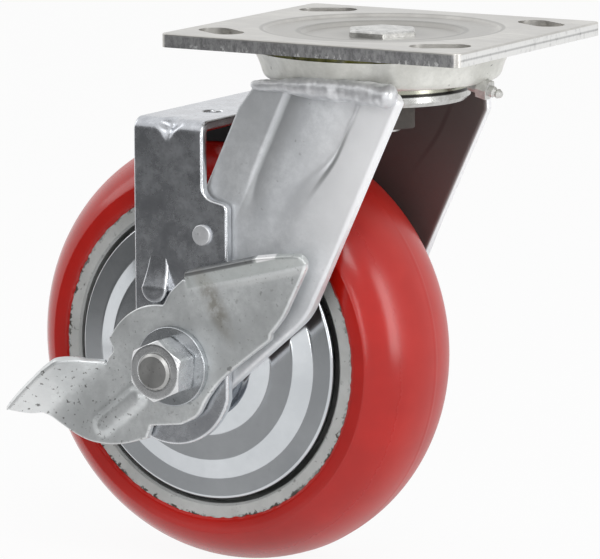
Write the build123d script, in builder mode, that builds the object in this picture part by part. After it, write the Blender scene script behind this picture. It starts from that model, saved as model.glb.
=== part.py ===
"""Swivel castor with a crowned polyurethane wheel and a pedal-worked side brake.

Frame: +Z up, +X along the long side of the plate, wheel axle along Y, origin on the swivel axis at
the plate's top face. The wheel trails towards -X and the brake pedal is on the -Y side. Millimetres.
"""

import os
from math import acos, atan2, cos, degrees, hypot, pi, radians, sin

from build123d import *

os.makedirs("parts", exist_ok=True)

# ---------------------------------------------------------------- driving dimensions
wheel_radius = 76.2
overall_height = 190.5
swivel_lead = 55.0  # how far the axle trails behind the swivel axis

plate_length = 114.3
plate_width = 101.6
plate_thickness = 4.7
plate_corner = 2.5
slot_width = 11.1
slot_outer_inset = (11.11, 17.46)  # from the plate's edges to the centres of a slot's two end arcs
slot_inner_inset = (19.05, 12.7)
race_step_radius = 40.6  # outer edge of the pressed ring over the ball race
race_step_depth = 1.0
race_slope = 1.4  # how far each pressed step leans over its depth
centre_step_radius = 28.0
centre_step_depth = 2.4
centre_slope = 1.8
plate_edge_round = 0.5

ball_radius = 3.97  # main race
ball_circle_radius = 34.0
ball_count = 24
ball_sink = 0.6  # depth of a ball in its track
ball_clearance = 0.05
small_ball_radius = 2.38
small_ball_circle_radius = 24.0
small_ball_count = 26
small_ball_sink = 0.4

cup_rim_gap = 3.1  # air between the plate's underside and the cup's rim
cup_rim_radius = 44.0
cup_foot_radius = 40.8
cup_floor = 4.4
cup_wall = 3.4
cup_bore_radius = 9.6

lower_race_radius = 30.2
lower_race_floor = 3.0
lower_race_wall = 2.2
lower_race_gap = 0.6

king_radius = 7.0  # the bolt on the swivel axis
king_hex = 22.0
king_head_top = 0.5  # below the plate's top face
king_head_height = 4.4
king_washer_radius = 14.0
king_washer_thickness = 2.0
king_nut_height = 8.0
king_point = 1.4  # thread showing under the nut

leg_half_gap = 33.2  # from the mid-plane to a leg's inner face
leg_thickness = 5.8
edge_round = 1.0  # rounding of the legs' cut edges
leg_angle = 25.0  # slope of the legs from the vertical
leg_back = 20.8  # from the leg's datum line to its back edge
leg_front = 33.6
leg_boss_radius = 17.0
leg_knee = 19.0  # height above the axle at which the front edge turns in
leg_back_knee = 40.0
leg_front_blend = 22.0  # radii that round off the two knees
leg_back_blend = 30.0
leg_top_round = 2.0
panel_back = 5.9  # edges of the pressed panel, from the same datum line
panel_front = 20.4
panel_depth = 1.5
panel_end = 96.0  # length of the panel down the leg
panel_corner = 12.0
panel_slope = 32.0  # lean of the panel's walls, in degrees

weld_radius = 3.2
weld_short = 5.0  # how much sooner the far run stops at the front
far_corner_cut = 5.4  # bevel on the far leg's upper front corner

axle_radius = 6.35
axle_clearance = 0.08
hex_across = 19.05
hex_turn = 5.0  # where the bolt and nut came to stand, in degrees
axle_nut_height = 10.2
axle_head_height = 8.2
axle_point = 1.3
axle_washer_radius = 13.7
axle_washer_thickness = 2.4
washer_clearance = 0.1  # between the pedal and the washer
washer_round = 0.5
bush_radius = 8.8
bush_clearance = 0.09

tread_rim_radius = 57.4  # where the tread meets the rim
tread_half_width = 27.4
tread_edge_half_width = 26.2
rim_half_width = 25.4
rim_thickness = 5.0
rim_land = 3.2
web_thickness = 9.0
hub_radius = 22.0
hub_nose_radius = 19.0
hub_half_length = 31.2
hub_shoulder = 29.4
hub_bore_radius = 15.88

disc_thickness = 1.2
disc_clearance = 1.0  # from the disc's edge to the rim
disc_bands = (25.4, 20.4, 13.6, 7.6)  # stamped steps, measured inwards from the disc's edge
disc_step = 3.0  # depth between neighbouring flats
disc_lip = 2.2

sleeve_radius = 9.5
roller_radius = 3.1
roller_count = 8
roller_length = 46.0
roller_play = 0.15
cage_thickness = 2.4
cage_end = 3.0
thrust_washer_thickness = 1.6
thrust_washer_radius = 16.5
thrust_clearance = 0.15  # between a thrust washer and its leg

strap_clearance = 0.2
strap_thickness = 3.7
strap_back = 18.3  # edges of the strap, from the axle
strap_front = 9.3
strap_foot_front = 18.9
strap_step_height = 58.2  # height of the step in the front edge above the axle
strap_top_height = 83.9
strap_end_radius = 23.7
strap_end_drop = 5.0
strap_end_shift = 4.0
strap_bend = 4.6  # outside radius of the folds
strap_edge_round = 0.7
strap_blank = 60.0  # folded sheet below the axle, before the legs are trimmed
strap_step_fall = 2.0  # from the step's inner corner to its outer one
dart_height = 8.6  # of the notch pressed into each fold
dart_depth = 8.0
dart_half_width = 6.2
strap_hole_radius = 3.85
strap_hole_spacing = 34.6
strap_hole_shift = 2.4  # forward of the strap's middle
brake_lift = 4.8  # how far the strap rises when the brake is let off
pedal_turn = 48.0  # degrees of pedal for that lift

pin_radius = 3.6
pin_offset = (9.3, 45.3)
pin_stand = 1.2
pin_play = 0.4  # round a guide pin in its slot
slot_play = 0.6  # spare length of the upright slots

finger_offset = (-8.6, 25.8)
finger_radius = 5.15
finger_height = 3.4
finger_length = 13.0

pad_length = 25.0
pad_width = 31.0
pad_gap = 0.3  # from the tread with the brake on
pad_depth = 9.0
stud_radius = 3.0  # stud that holds the pad under the bridge
stud_head_radius = 4.6
stud_length = 2.6

pedal_clearance = 0.8
pedal_thickness = 3.1
pedal_round = 0.6
cam_clearance = 0.45
wing_fold = (11.9, 28.2)  # a point on the wing's fold line, from the axle
wing_slope = 14.6
wing_width = 6.5
wing_bend = 25.0
wing_start = -5.8  # along the fold line from that point
wing_end = 41.0
toe_fold = (-27.9, -2.6)
toe_slope = 40.2
toe_bend = 40.0
toe_start = -1.0  # along the fold line from that point
toe_end = 40.5
toe_width = 15.5
toe_low = (-30.5, -30.6)  # lowest point of the toe
wing_tip = (46.4, 26.8)  # foremost point of the wing
rib_start = (-15.5, -12.6)
rib_end = (-29.0, -23.6)
rib_radius = 4.2
rib_height = 1.8

nipple_reach = 37.6  # radius at which the nipple leaves the cup's lower corner
nipple_drop = 1.2  # below the cup's floor
nipple_tilt = 14.0
nipple_length = 8.6
nipple_hex = 6.2

# ---------------------------------------------------------------- levels worked out from them
axle_z = wheel_radius - overall_height
axle_x = -swivel_lead

slot_outer = (plate_length / 2 - slot_outer_inset[0], plate_width / 2 - slot_outer_inset[1])
slot_inner = (plate_length / 2 - slot_inner_inset[0], plate_width / 2 - slot_inner_inset[1])
race_under = -race_step_depth - plate_thickness
centre_under = -centre_step_depth - plate_thickness
ball_z = race_under - ball_radius + ball_sink
cup_floor_top = ball_z - ball_radius + ball_sink
cup_bottom = cup_floor_top - cup_floor
cup_rim = -plate_thickness - cup_rim_gap
small_ball_z = cup_bottom - small_ball_radius + small_ball_sink
lower_race_top = small_ball_z - small_ball_radius + small_ball_sink
lower_race_bottom = lower_race_top - lower_race_floor
king_nut_top = lower_race_bottom - king_washer_thickness
king_nut_bottom = king_nut_top - king_nut_height

leg_outer = leg_half_gap + leg_thickness
strap_inner = leg_outer + strap_clearance
strap_outer = strap_inner + strap_thickness
pedal_inner = strap_outer + pedal_clearance
pedal_outer = pedal_inner + pedal_thickness
near_washer_inner = pedal_outer + washer_clearance
near_nut_inner = near_washer_inner + axle_washer_thickness
near_nut_outer = near_nut_inner + axle_nut_height
far_washer_inner = strap_outer + strap_clearance
far_head_inner = far_washer_inner + axle_washer_thickness
far_head_outer = far_head_inner + axle_head_height

axle_bore = axle_radius + axle_clearance
bush_bore = bush_radius + bush_clearance
rim_bore_radius = tread_rim_radius - rim_thickness
disc_radius = rim_bore_radius - disc_clearance
hex_radius = hex_across / 2 / cos(radians(30))
lift_per_degree = brake_lift / pedal_turn
strap_top = axle_z + strap_top_height
strap_mid_x = axle_x + (strap_front - strap_back) / 2


def near(distance):
    """Plane facing -Y at a distance from the mid-plane; its axes are X and Z."""
    return Plane.XZ.offset(distance)


def axle_plane(distance):
    """The same plane, with its origin on the axle."""
    return Plane(origin=(axle_x, -distance, axle_z), x_dir=(1, 0, 0), z_dir=(0, -1, 0))


def far_copy(piece):
    """The piece mirrored to the +Y side."""
    return mirror(piece, about=Plane.XZ)


def rim_edges(skin):
    """Edges round the outside of a set of neighbouring faces."""
    seen = [edge for face in skin for edge in face.edges()]
    return ShapeList(edge for edge in seen if sum(edge.is_same(other) for other in seen) == 1)


def write(piece, name):
    """Label one finished sub-part and write it to its own STEP file."""
    piece.part.label = name
    export_step(piece.part, f"parts/{name}.step")


# ---------------------------------------------------------------- top plate
with BuildPart() as top_plate:
    with BuildSketch(Plane.XY.offset(-plate_thickness)):
        RectangleRounded(plate_length, plate_width, plate_corner)
    extrude(amount=plate_thickness)
    # the pressed rings: the sheet keeps its thickness and steps down twice towards the centre
    with BuildSketch(Plane.XZ):
        with BuildLine():
            Polyline(
                (0, 1),
                (race_step_radius, 1),
                (race_step_radius, 0),
                (race_step_radius - race_slope, -race_step_depth),
                (centre_step_radius, -race_step_depth),
                (centre_step_radius - centre_slope, -centre_step_depth),
                (0, -centre_step_depth),
                close=True,
            )
        make_face()
    revolve(axis=Axis.Z, mode=Mode.SUBTRACT)
    with BuildSketch(Plane.XZ):
        with BuildLine():
            Polyline(
                (0, race_under + 1.5),
                (race_step_radius + race_slope, race_under + 1.5),
                (race_step_radius + race_slope, -plate_thickness),
                (race_step_radius, race_under),
                (centre_step_radius + race_slope, race_under),
                (centre_step_radius - 0.6, centre_under),
                (0, centre_under),
                close=True,
            )
        make_face()
    revolve(axis=Axis.Z)
    # ball track under the ring
    with BuildSketch(Plane.XZ):
        with Locations((ball_circle_radius, ball_z)):
            Circle(ball_radius + ball_clearance)
    revolve(axis=Axis.Z, mode=Mode.SUBTRACT)
    # hexagonal seat and hole for the king bolt
    with BuildSketch(Plane.XY):
        RegularPolygon(king_hex / 2 + axle_clearance, 6, major_radius=False)
    extrude(amount=-king_head_top - king_head_height, mode=Mode.SUBTRACT)
    Cylinder(king_radius + axle_clearance, 40, mode=Mode.SUBTRACT)
    # four oblique slots
    slot_turn = degrees(atan2(slot_outer[1] - slot_inner[1], slot_outer[0] - slot_inner[0]))
    slot_pitch = hypot(slot_outer[0] - slot_inner[0], slot_outer[1] - slot_inner[1])
    slot_x = (slot_outer[0] + slot_inner[0]) / 2
    slot_y = (slot_outer[1] + slot_inner[1]) / 2
    with BuildSketch(Plane.XY) as slots:
        for side_x in (-1, 1):
            for side_y in (-1, 1):
                slot_place = Location((side_x * slot_x, side_y * slot_y), side_x * side_y * slot_turn)
                with Locations(slot_place):
                    SlotCenterToCenter(slot_pitch, slot_width)
    extrude(amount=-plate_thickness, mode=Mode.SUBTRACT)
    # the punched upper rim of the plate is eased, the sheared lower one stays sharp
    fillet(top_plate.faces().sort_by(Axis.Z)[-1].outer_wire().edges(), plate_edge_round)
write(top_plate, "top_plate")

# ---------------------------------------------------------------- king bolt, washer and nut
with BuildPart() as king_bolt:
    with BuildSketch(Plane.XY.offset(-king_head_top)):
        RegularPolygon(king_hex / 2, 6, major_radius=False)
    extrude(amount=-king_head_height)
    with BuildSketch(Plane.XY.offset(-king_head_top - 1)):
        Circle(king_radius)
    extrude(amount=king_nut_bottom - king_point + king_head_top + 1)
    chamfer(king_bolt.faces().sort_by(Axis.Z)[0].edges(), 1.0)
    chamfer(king_bolt.faces().sort_by(Axis.Z)[-1].edges(), 0.5)
write(king_bolt, "king_bolt")

with BuildPart() as lower_race:
    with BuildSketch(Plane.XZ):
        with BuildLine():
            Polyline(
                (king_radius + axle_clearance, lower_race_bottom),
                (lower_race_radius - 1.5, lower_race_bottom),
                (lower_race_radius, lower_race_bottom + 1.5),
                (lower_race_radius, cup_bottom - lower_race_gap),
                (lower_race_radius - lower_race_wall, cup_bottom - lower_race_gap),
                (lower_race_radius - lower_race_wall, lower_race_top),
                (king_radius + axle_clearance, lower_race_top),
                close=True,
            )
        make_face()
    revolve(axis=Axis.Z)
    with BuildSketch(Plane.XZ):
        with Locations((small_ball_circle_radius, small_ball_z)):
            Circle(small_ball_radius + ball_clearance)
    revolve(axis=Axis.Z, mode=Mode.SUBTRACT)
write(lower_race, "lower_race")

with BuildPart() as king_washer:
    with BuildSketch(Plane.XY.offset(king_nut_top)):
        Circle(king_washer_radius)
        Circle(king_radius + axle_clearance, mode=Mode.SUBTRACT)
    extrude(amount=king_washer_thickness)
write(king_washer, "king_washer")

with BuildPart() as king_nut:
    with BuildSketch(Plane.XY.offset(king_nut_bottom)):
        RegularPolygon(king_hex / 2, 6, major_radius=False)
        Circle(king_radius + axle_clearance, mode=Mode.SUBTRACT)
    extrude(amount=king_nut_height)
    chamfer(king_nut.faces().sort_by(Axis.Z)[0].outer_wire().edges(), 0.6)
write(king_nut, "king_nut")

# ---------------------------------------------------------------- swivel cup and its balls
with BuildPart() as swivel_base:
    with BuildSketch(Plane.XZ):
        with BuildLine():
            l1 = Line((cup_bore_radius, cup_bottom), (cup_foot_radius - 3.0, cup_bottom))
            l2 = RadiusArc(l1 @ 1, (cup_foot_radius, cup_bottom + 2.6), -3.4)
            l3 = RadiusArc(l2 @ 1, (cup_rim_radius, cup_rim + 0.9), 26)
            l4 = RadiusArc(l3 @ 1, (cup_rim_radius - 1.1, cup_rim), -1.0)
            l5 = Line(l4 @ 1, (cup_rim_radius - cup_wall, cup_rim))
            l6 = Line(l5 @ 1, (cup_rim_radius - cup_wall - 1.8, cup_floor_top + 0.6))
            l7 = Line(l6 @ 1, (cup_rim_radius - cup_wall - 3.0, cup_floor_top))
            l8 = Line(l7 @ 1, (cup_bore_radius, cup_floor_top))
            Line(l8 @ 1, l1 @ 0)
        make_face()
    revolve(axis=Axis.Z)
    with BuildSketch(Plane.XZ):
        with Locations((ball_circle_radius, ball_z)):
            Circle(ball_radius + ball_clearance)
        with Locations((small_ball_circle_radius, small_ball_z)):
            Circle(small_ball_radius + ball_clearance)
    revolve(axis=Axis.Z, mode=Mode.SUBTRACT)

nipple_plane = Plane(
    origin=(nipple_reach, 0, cup_bottom - nipple_drop),
    x_dir=(0, 1, 0),
    z_dir=(cos(radians(nipple_tilt)), 0, -sin(radians(nipple_tilt))),
)
with BuildPart() as grease_nipple:
    with BuildSketch(nipple_plane.offset(-3.4)):
        Circle(2.3)
    extrude(amount=3.4)
    with BuildSketch(nipple_plane):
        RegularPolygon(nipple_hex / 2, 6, major_radius=False)
    extrude(amount=nipple_length * 0.45)
    with BuildSketch(nipple_plane.offset(nipple_length * 0.45)):
        Circle(1.9)
    extrude(amount=nipple_length * 0.2)
    with BuildSketch(nipple_plane.offset(nipple_length * 0.65)):
        Circle(1.9)
    with BuildSketch(nipple_plane.offset(nipple_length * 0.75)):
        Circle(1.3)
    loft()
    with BuildSketch(nipple_plane.offset(nipple_length * 0.75)):
        Circle(1.3)
    with BuildSketch(nipple_plane.offset(nipple_length * 0.85)):
        Circle(1.7)
    loft()
    with BuildSketch(nipple_plane.offset(nipple_length * 0.85)):
        Circle(1.7)
    with BuildSketch(nipple_plane.offset(nipple_length)):
        Circle(1.0)
    loft()
    add(swivel_base.part, mode=Mode.SUBTRACT)
write(grease_nipple, "grease_nipple")
write(swivel_base, "swivel_base")

with BuildPart() as upper_balls:
    with PolarLocations(ball_circle_radius, ball_count):
        with Locations((0, 0, ball_z)):
            Sphere(ball_radius)
write(upper_balls, "upper_balls")

with BuildPart() as lower_balls:
    with PolarLocations(small_ball_circle_radius, small_ball_count):
        with Locations((0, 0, small_ball_z)):
            Sphere(small_ball_radius)
write(lower_balls, "lower_balls")

# ---------------------------------------------------------------- fork legs
leg_down = (-sin(radians(leg_angle)), -cos(radians(leg_angle)))
leg_across = (cos(radians(leg_angle)), -sin(radians(leg_angle)))


def on_leg(across, down):
    """Point of the leg's sloping frame (distance across, distance down) in X and Z."""
    return (
        across * leg_across[0] + down * leg_down[0],
        across * leg_across[1] + down * leg_down[1],
    )


def at_level(across, z):
    """Point at a distance across the leg and at a height Z."""
    down = (z - across * leg_across[1]) / leg_down[1]
    return on_leg(across, down)


leg_top = cup_bottom
back_top = at_level(-leg_back, leg_top - 8)
front_top = at_level(leg_front, leg_top - 3)
front_knee = at_level(leg_front, axle_z + leg_knee)
back_knee = at_level(-leg_back, axle_z + leg_back_knee)


def boss_touch(knee, side):
    """Angle at which the line from a knee touches the boss; side is -1 in front and 1 behind."""
    x, z = knee[0] - axle_x, knee[1] - axle_z
    return atan2(z, x) + side * acos(leg_boss_radius / hypot(x, z))


def on_boss(angle):
    """Point of the boss at an angle in radians."""
    return (axle_x + leg_boss_radius * cos(angle), axle_z + leg_boss_radius * sin(angle))


front_touch = boss_touch(front_knee, -1)
back_touch = boss_touch(back_knee, 1)

with BuildPart() as fork_leg_near:
    with BuildSketch(near(leg_half_gap)) as leg_outline:
        with BuildLine():
            Polyline(
                on_boss(back_touch),
                back_knee,
                back_top,
                (back_top[0] + 6.5, leg_top),
                (front_top[0] - 2.0, leg_top),
                front_top,
                front_knee,
                on_boss(front_touch),
            )
            ThreePointArc(
                on_boss(front_touch),
                on_boss((front_touch + back_touch) / 2 - pi),
                on_boss(back_touch),
            )
        make_face()
        fillet(leg_outline.vertices().group_by(Axis.Y)[-1], leg_top_round)
        fillet(leg_outline.vertices().sort_by_distance(front_knee)[0], leg_front_blend)
        fillet(leg_outline.vertices().sort_by_distance(back_knee)[0], leg_back_blend)
    extrude(amount=leg_thickness)
    # the coined edges, apart from the top one under the cup
    leg_rims = fork_leg_near.edges().filter_by(Axis.Y, reverse=True)
    fillet(leg_rims.filter_by(lambda edge: edge.center().Z < leg_top - edge_round), edge_round)
    # the panel between the two creases is pressed inwards
    with BuildSketch(near(leg_outer)) as panel_outline:
        with BuildLine():
            Polyline(
                on_leg(-panel_back, 2),
                on_leg(panel_front, -4),
                on_leg(panel_front, panel_end - panel_corner),
                on_leg(panel_front - panel_corner, panel_end),
                on_leg(-panel_back + 10, panel_end),
                on_leg(-panel_back, panel_end - panel_corner),
                close=True,
            )
        make_face()
    extrude(amount=-panel_depth, taper=panel_slope, mode=Mode.SUBTRACT)
    with BuildSketch(near(leg_half_gap)):
        add(panel_outline.sketch.moved(Location((0, leg_thickness, 0))))
    extrude(amount=-panel_depth, taper=panel_slope)
    with BuildSketch(near(leg_half_gap)):
        with Locations((0, leg_top + 20)):
            Rectangle(120, 40)
    extrude(amount=30, both=True, mode=Mode.SUBTRACT)
    # axle hole
    with BuildSketch(axle_plane(leg_half_gap - 3)):
        Circle(axle_bore)
    extrude(amount=leg_thickness + 6, mode=Mode.SUBTRACT)
    # upright slot for the strap's guide pin
    with BuildSketch(axle_plane(leg_half_gap - 3)):
        with Locations(Location((pin_offset[0], pin_offset[1] + brake_lift / 2), 90)):
            SlotCenterToCenter(brake_lift + slot_play, 2 * (pin_radius + pin_play))
    extrude(amount=leg_thickness + 6, mode=Mode.SUBTRACT)
write(fork_leg_near, "fork_leg_near")

with BuildPart() as fork_leg_far:
    add(far_copy(fork_leg_near.part))
    with BuildSketch(Plane.XZ):
        with BuildLine():
            Polyline(
                (front_top[0] - far_corner_cut + 1, leg_top + 1),
                at_level(leg_front, leg_top - 2.6 * far_corner_cut),
                at_level(leg_front + 9, leg_top - 2.6 * far_corner_cut),
                (front_top[0] + 9, leg_top + 1),
                close=True,
            )
        make_face()
    extrude(amount=-2 * leg_outer, mode=Mode.SUBTRACT)
write(fork_leg_far, "fork_leg_far")

# ---------------------------------------------------------------- weld runs
weld_back = back_top[0] + 8.7
weld_front = front_top[0] - 0.8
weld_level = cup_bottom + 0.5


def weld_path(front):
    """Centre line of a weld run in the corner between cup and leg, up to its front end."""
    return (
        (weld_back, 0.6 - leg_outer, weld_level - 1.0),
        ((weld_back + front) / 2, 0.2 - leg_outer, weld_level),
        (front, 0.6 - leg_outer, weld_level - 1.6),
    )


with BuildPart() as weld_near:
    with BuildLine() as near_run:
        ThreePointArc(*weld_path(weld_front))
    with BuildSketch(Plane(origin=near_run.line @ 0, z_dir=near_run.line % 0)):
        Circle(weld_radius)
    sweep(path=near_run.line)
    with Locations(near_run.line @ 0, near_run.line @ 1):
        Sphere(weld_radius)
    add(swivel_base.part, mode=Mode.SUBTRACT)
    add(fork_leg_near.part, mode=Mode.SUBTRACT)
write(weld_near, "weld_near")

with BuildPart() as far_bead:
    with BuildLine() as far_run:
        ThreePointArc(*weld_path(weld_front - weld_short))
    with BuildSketch(Plane(origin=far_run.line @ 0, z_dir=far_run.line % 0)):
        Circle(weld_radius)
    sweep(path=far_run.line)
    with Locations(far_run.line @ 0, far_run.line @ 1):
        Sphere(weld_radius)

with BuildPart() as weld_far:
    add(far_copy(far_bead.part))
    add(swivel_base.part, mode=Mode.SUBTRACT)
    add(fork_leg_far.part, mode=Mode.SUBTRACT)
write(weld_far, "weld_far")

# ---------------------------------------------------------------- axle
with BuildPart() as axle_bolt:
    with BuildSketch(axle_plane(-far_head_inner)):
        Circle(axle_radius)
    extrude(amount=far_head_inner + near_nut_outer + axle_point)
    chamfer(axle_bolt.faces().sort_by(Axis.Y)[0].edges(), 0.9)
    with BuildSketch(axle_plane(-far_head_outer)):
        RegularPolygon(hex_across / 2, 6, major_radius=False, rotation=hex_turn)
    extrude(amount=axle_head_height)
    chamfer(axle_bolt.faces().sort_by(Axis.Y)[-1].edges(), 0.7)
write(axle_bolt, "axle_bolt")

with BuildPart() as axle_nut:
    with BuildSketch(axle_plane(near_nut_inner)):
        RegularPolygon(hex_across / 2, 6, major_radius=False, rotation=hex_turn)
    extrude(amount=axle_nut_height)
    # the outer corners are turned off at thirty degrees
    with BuildSketch(Plane(origin=(axle_x, 0, axle_z), x_dir=(1, 0, 0), z_dir=(0, 0, 1))):
        with BuildLine():
            Polyline(
                (hex_across / 2 - 0.3, -near_nut_outer),
                (hex_radius + 2, -near_nut_outer + (hex_radius + 2.3 - hex_across / 2) * 0.58),
                (hex_radius + 2, -near_nut_outer - 1),
                (hex_across / 2 - 0.3, -near_nut_outer - 1),
                close=True,
            )
        make_face()
    revolve(axis=Axis((axle_x, 0, axle_z), (0, 1, 0)), mode=Mode.SUBTRACT)
    with BuildSketch(axle_plane(near_nut_inner - 1)):
        Circle(axle_bore)
    extrude(amount=axle_nut_height + 2, mode=Mode.SUBTRACT)
write(axle_nut, "axle_nut")


def ring_face(inner_radius, outer_radius, start):
    """Face of a washer or tube on the axle, facing -Y at a distance from the mid-plane."""
    with BuildSketch(axle_plane(start)) as ring:
        Circle(outer_radius)
        Circle(inner_radius, mode=Mode.SUBTRACT)
    return ring.sketch


with BuildPart() as nut_washer:
    extrude(ring_face(axle_bore, axle_washer_radius, near_washer_inner), amount=axle_washer_thickness)
    washer_circles = nut_washer.edges().filter_by(GeomType.CIRCLE).group_by(Axis.Y)[0]
    fillet(washer_circles.sort_by(SortBy.RADIUS)[-1], washer_round)
write(nut_washer, "nut_washer")

with BuildPart() as head_washer:
    extrude(ring_face(axle_bore, axle_washer_radius, -far_head_inner), amount=axle_washer_thickness)
write(head_washer, "head_washer")

with BuildPart() as pedal_bush:
    extrude(ring_face(axle_bore, bush_radius, leg_outer), amount=near_washer_inner - leg_outer)
write(pedal_bush, "pedal_bush")

with BuildPart() as strap_bush:
    extrude(ring_face(axle_bore, bush_radius, -far_washer_inner), amount=far_washer_inner - leg_outer)
write(strap_bush, "strap_bush")

with BuildPart() as axle_sleeve:
    extrude(ring_face(axle_bore, sleeve_radius, -leg_half_gap), amount=2 * leg_half_gap)
write(axle_sleeve, "axle_sleeve")

thrust_start = leg_half_gap - thrust_clearance - thrust_washer_thickness
with BuildPart() as thrust_washer_near:
    thrust_face = ring_face(sleeve_radius + axle_clearance, thrust_washer_radius, thrust_start)
    extrude(thrust_face, amount=thrust_washer_thickness)
write(thrust_washer_near, "thrust_washer_near")

with BuildPart() as thrust_washer_far:
    add(far_copy(thrust_washer_near.part))
write(thrust_washer_far, "thrust_washer_far")

# ---------------------------------------------------------------- wheel
axle_line = Axis((axle_x, 0, axle_z), (0, 1, 0))
wheel_section = Plane(origin=(axle_x, 0, axle_z), x_dir=(0, 1, 0), z_dir=(-1, 0, 0))
crown_rise = wheel_radius - tread_rim_radius


def crown_line(grow):
    """Upper half of the ellipse that the tread's section follows, grown by a clearance."""
    EllipticalCenterArc(
        (0, tread_rim_radius),
        tread_half_width + grow,
        crown_rise + grow,
        start_angle=0,
        arc_size=180,
    )


with BuildPart() as tread:
    with BuildSketch(wheel_section):
        with BuildLine():
            crown_line(0)
            Line((-tread_half_width, tread_rim_radius), (tread_half_width, tread_rim_radius))
        make_face()
        with Locations((0, wheel_radius)):
            Rectangle(2 * tread_edge_half_width, 4 * crown_rise, mode=Mode.INTERSECT)
    revolve(axis=axle_line)
write(tread, "tread")

with BuildPart() as wheel_core:
    with BuildSketch(wheel_section):
        with BuildLine():
            Polyline(
                (0, hub_bore_radius),
                (hub_half_length, hub_bore_radius),
                (hub_half_length, hub_nose_radius),
                (hub_shoulder, hub_nose_radius),
                (hub_shoulder, hub_radius),
                (web_thickness / 2 + 1.5, hub_radius + 1.5),
                (web_thickness / 2, hub_radius + 5),
                (web_thickness / 2, rim_bore_radius - rim_land - 4),
                (web_thickness / 2 + 4, rim_bore_radius - rim_land),
                (rim_half_width - 7, rim_bore_radius - 0.8),
                (rim_half_width - 6, rim_bore_radius),
                (rim_half_width - 0.8, rim_bore_radius),
                (rim_half_width, rim_bore_radius + 0.8),
                (rim_half_width, tread_rim_radius),
                (0, tread_rim_radius),
            )
            mirror(about=Plane.YZ)
        make_face()
    revolve(axis=axle_line)
write(wheel_core, "wheel_core")

band_a, band_b, band_c, band_d = (disc_radius - band for band in disc_bands)
disc_inner_y = hub_shoulder + disc_thickness
disc_mid_y = disc_inner_y - disc_step
disc_outer_y = disc_mid_y - disc_step
with BuildPart() as disc_near:
    with BuildSketch(wheel_section):
        with BuildLine():
            FilletPolyline(
                (-disc_inner_y, hub_nose_radius + 0.2),
                (-disc_inner_y, band_a),
                (-disc_mid_y, band_b),
                (-disc_mid_y, band_c),
                (-disc_outer_y, band_d),
                (-disc_outer_y, disc_radius),
                (-disc_outer_y + disc_lip, disc_radius),
                (-disc_outer_y + disc_lip, disc_radius - disc_thickness),
                (-disc_outer_y + disc_thickness, disc_radius - disc_thickness),
                (-disc_outer_y + disc_thickness, band_d),
                (-disc_mid_y + disc_thickness, band_c),
                (-disc_mid_y + disc_thickness, band_b),
                (-disc_inner_y + disc_thickness, band_a),
                (-disc_inner_y + disc_thickness, hub_nose_radius + 0.2),
                close=True,
                radius=0.4,
            )
        make_face()
    revolve(axis=axle_line)
write(disc_near, "disc_near")

with BuildPart() as disc_far:
    add(far_copy(disc_near.part))
write(disc_far, "disc_far")

roller_circle = (sleeve_radius + hub_bore_radius) / 2
with BuildPart() as hub_rollers:
    with BuildSketch(axle_plane(-roller_length / 2)):
        with PolarLocations(roller_circle, roller_count):
            Circle(roller_radius)
    extrude(amount=roller_length)
write(hub_rollers, "hub_rollers")

cage_length = roller_length + 2 * (roller_play + cage_end)
with BuildPart() as roller_cage:
    cage_radii = (roller_circle - cage_thickness / 2, roller_circle + cage_thickness / 2)
    extrude(ring_face(*cage_radii, -cage_length / 2), amount=cage_length)
    with BuildSketch(axle_plane(-roller_length / 2 - roller_play)):
        with PolarLocations(roller_circle, roller_count):
            Rectangle(2 * cage_thickness, 2 * (roller_radius + roller_play))
    extrude(amount=roller_length + 2 * roller_play, mode=Mode.SUBTRACT)
write(roller_cage, "roller_cage")

# ---------------------------------------------------------------- brake strap
finger_x, finger_z = finger_offset
with BuildPart() as finger:
    # a tongue pressed out of the strap: round below, fading into the sheet above
    with BuildSketch(axle_plane(strap_outer)):
        with Locations((finger_x, finger_z)):
            Circle(finger_radius)
        with Locations((finger_x, finger_z + finger_length / 2)):
            Rectangle(2 * finger_radius, finger_length)
    extrude(amount=finger_height)
    with BuildSketch(Plane.YZ.offset(axle_x + finger_x - 2 * finger_radius)):
        with BuildLine():
            Polyline(
                (-strap_outer - finger_height, axle_z + finger_z + 1),
                (-strap_outer, axle_z + finger_z + finger_length),
                (-strap_outer - finger_height - 1, axle_z + finger_z + finger_length),
                close=True,
            )
        make_face()
    extrude(amount=4 * finger_radius, mode=Mode.SUBTRACT)


def strap_end_at(x):
    """Point of the strap's round lower end at a distance in front of the axle."""
    return (x, -strap_end_drop - (strap_end_radius**2 - (x + strap_end_shift) ** 2) ** 0.5)


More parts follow.
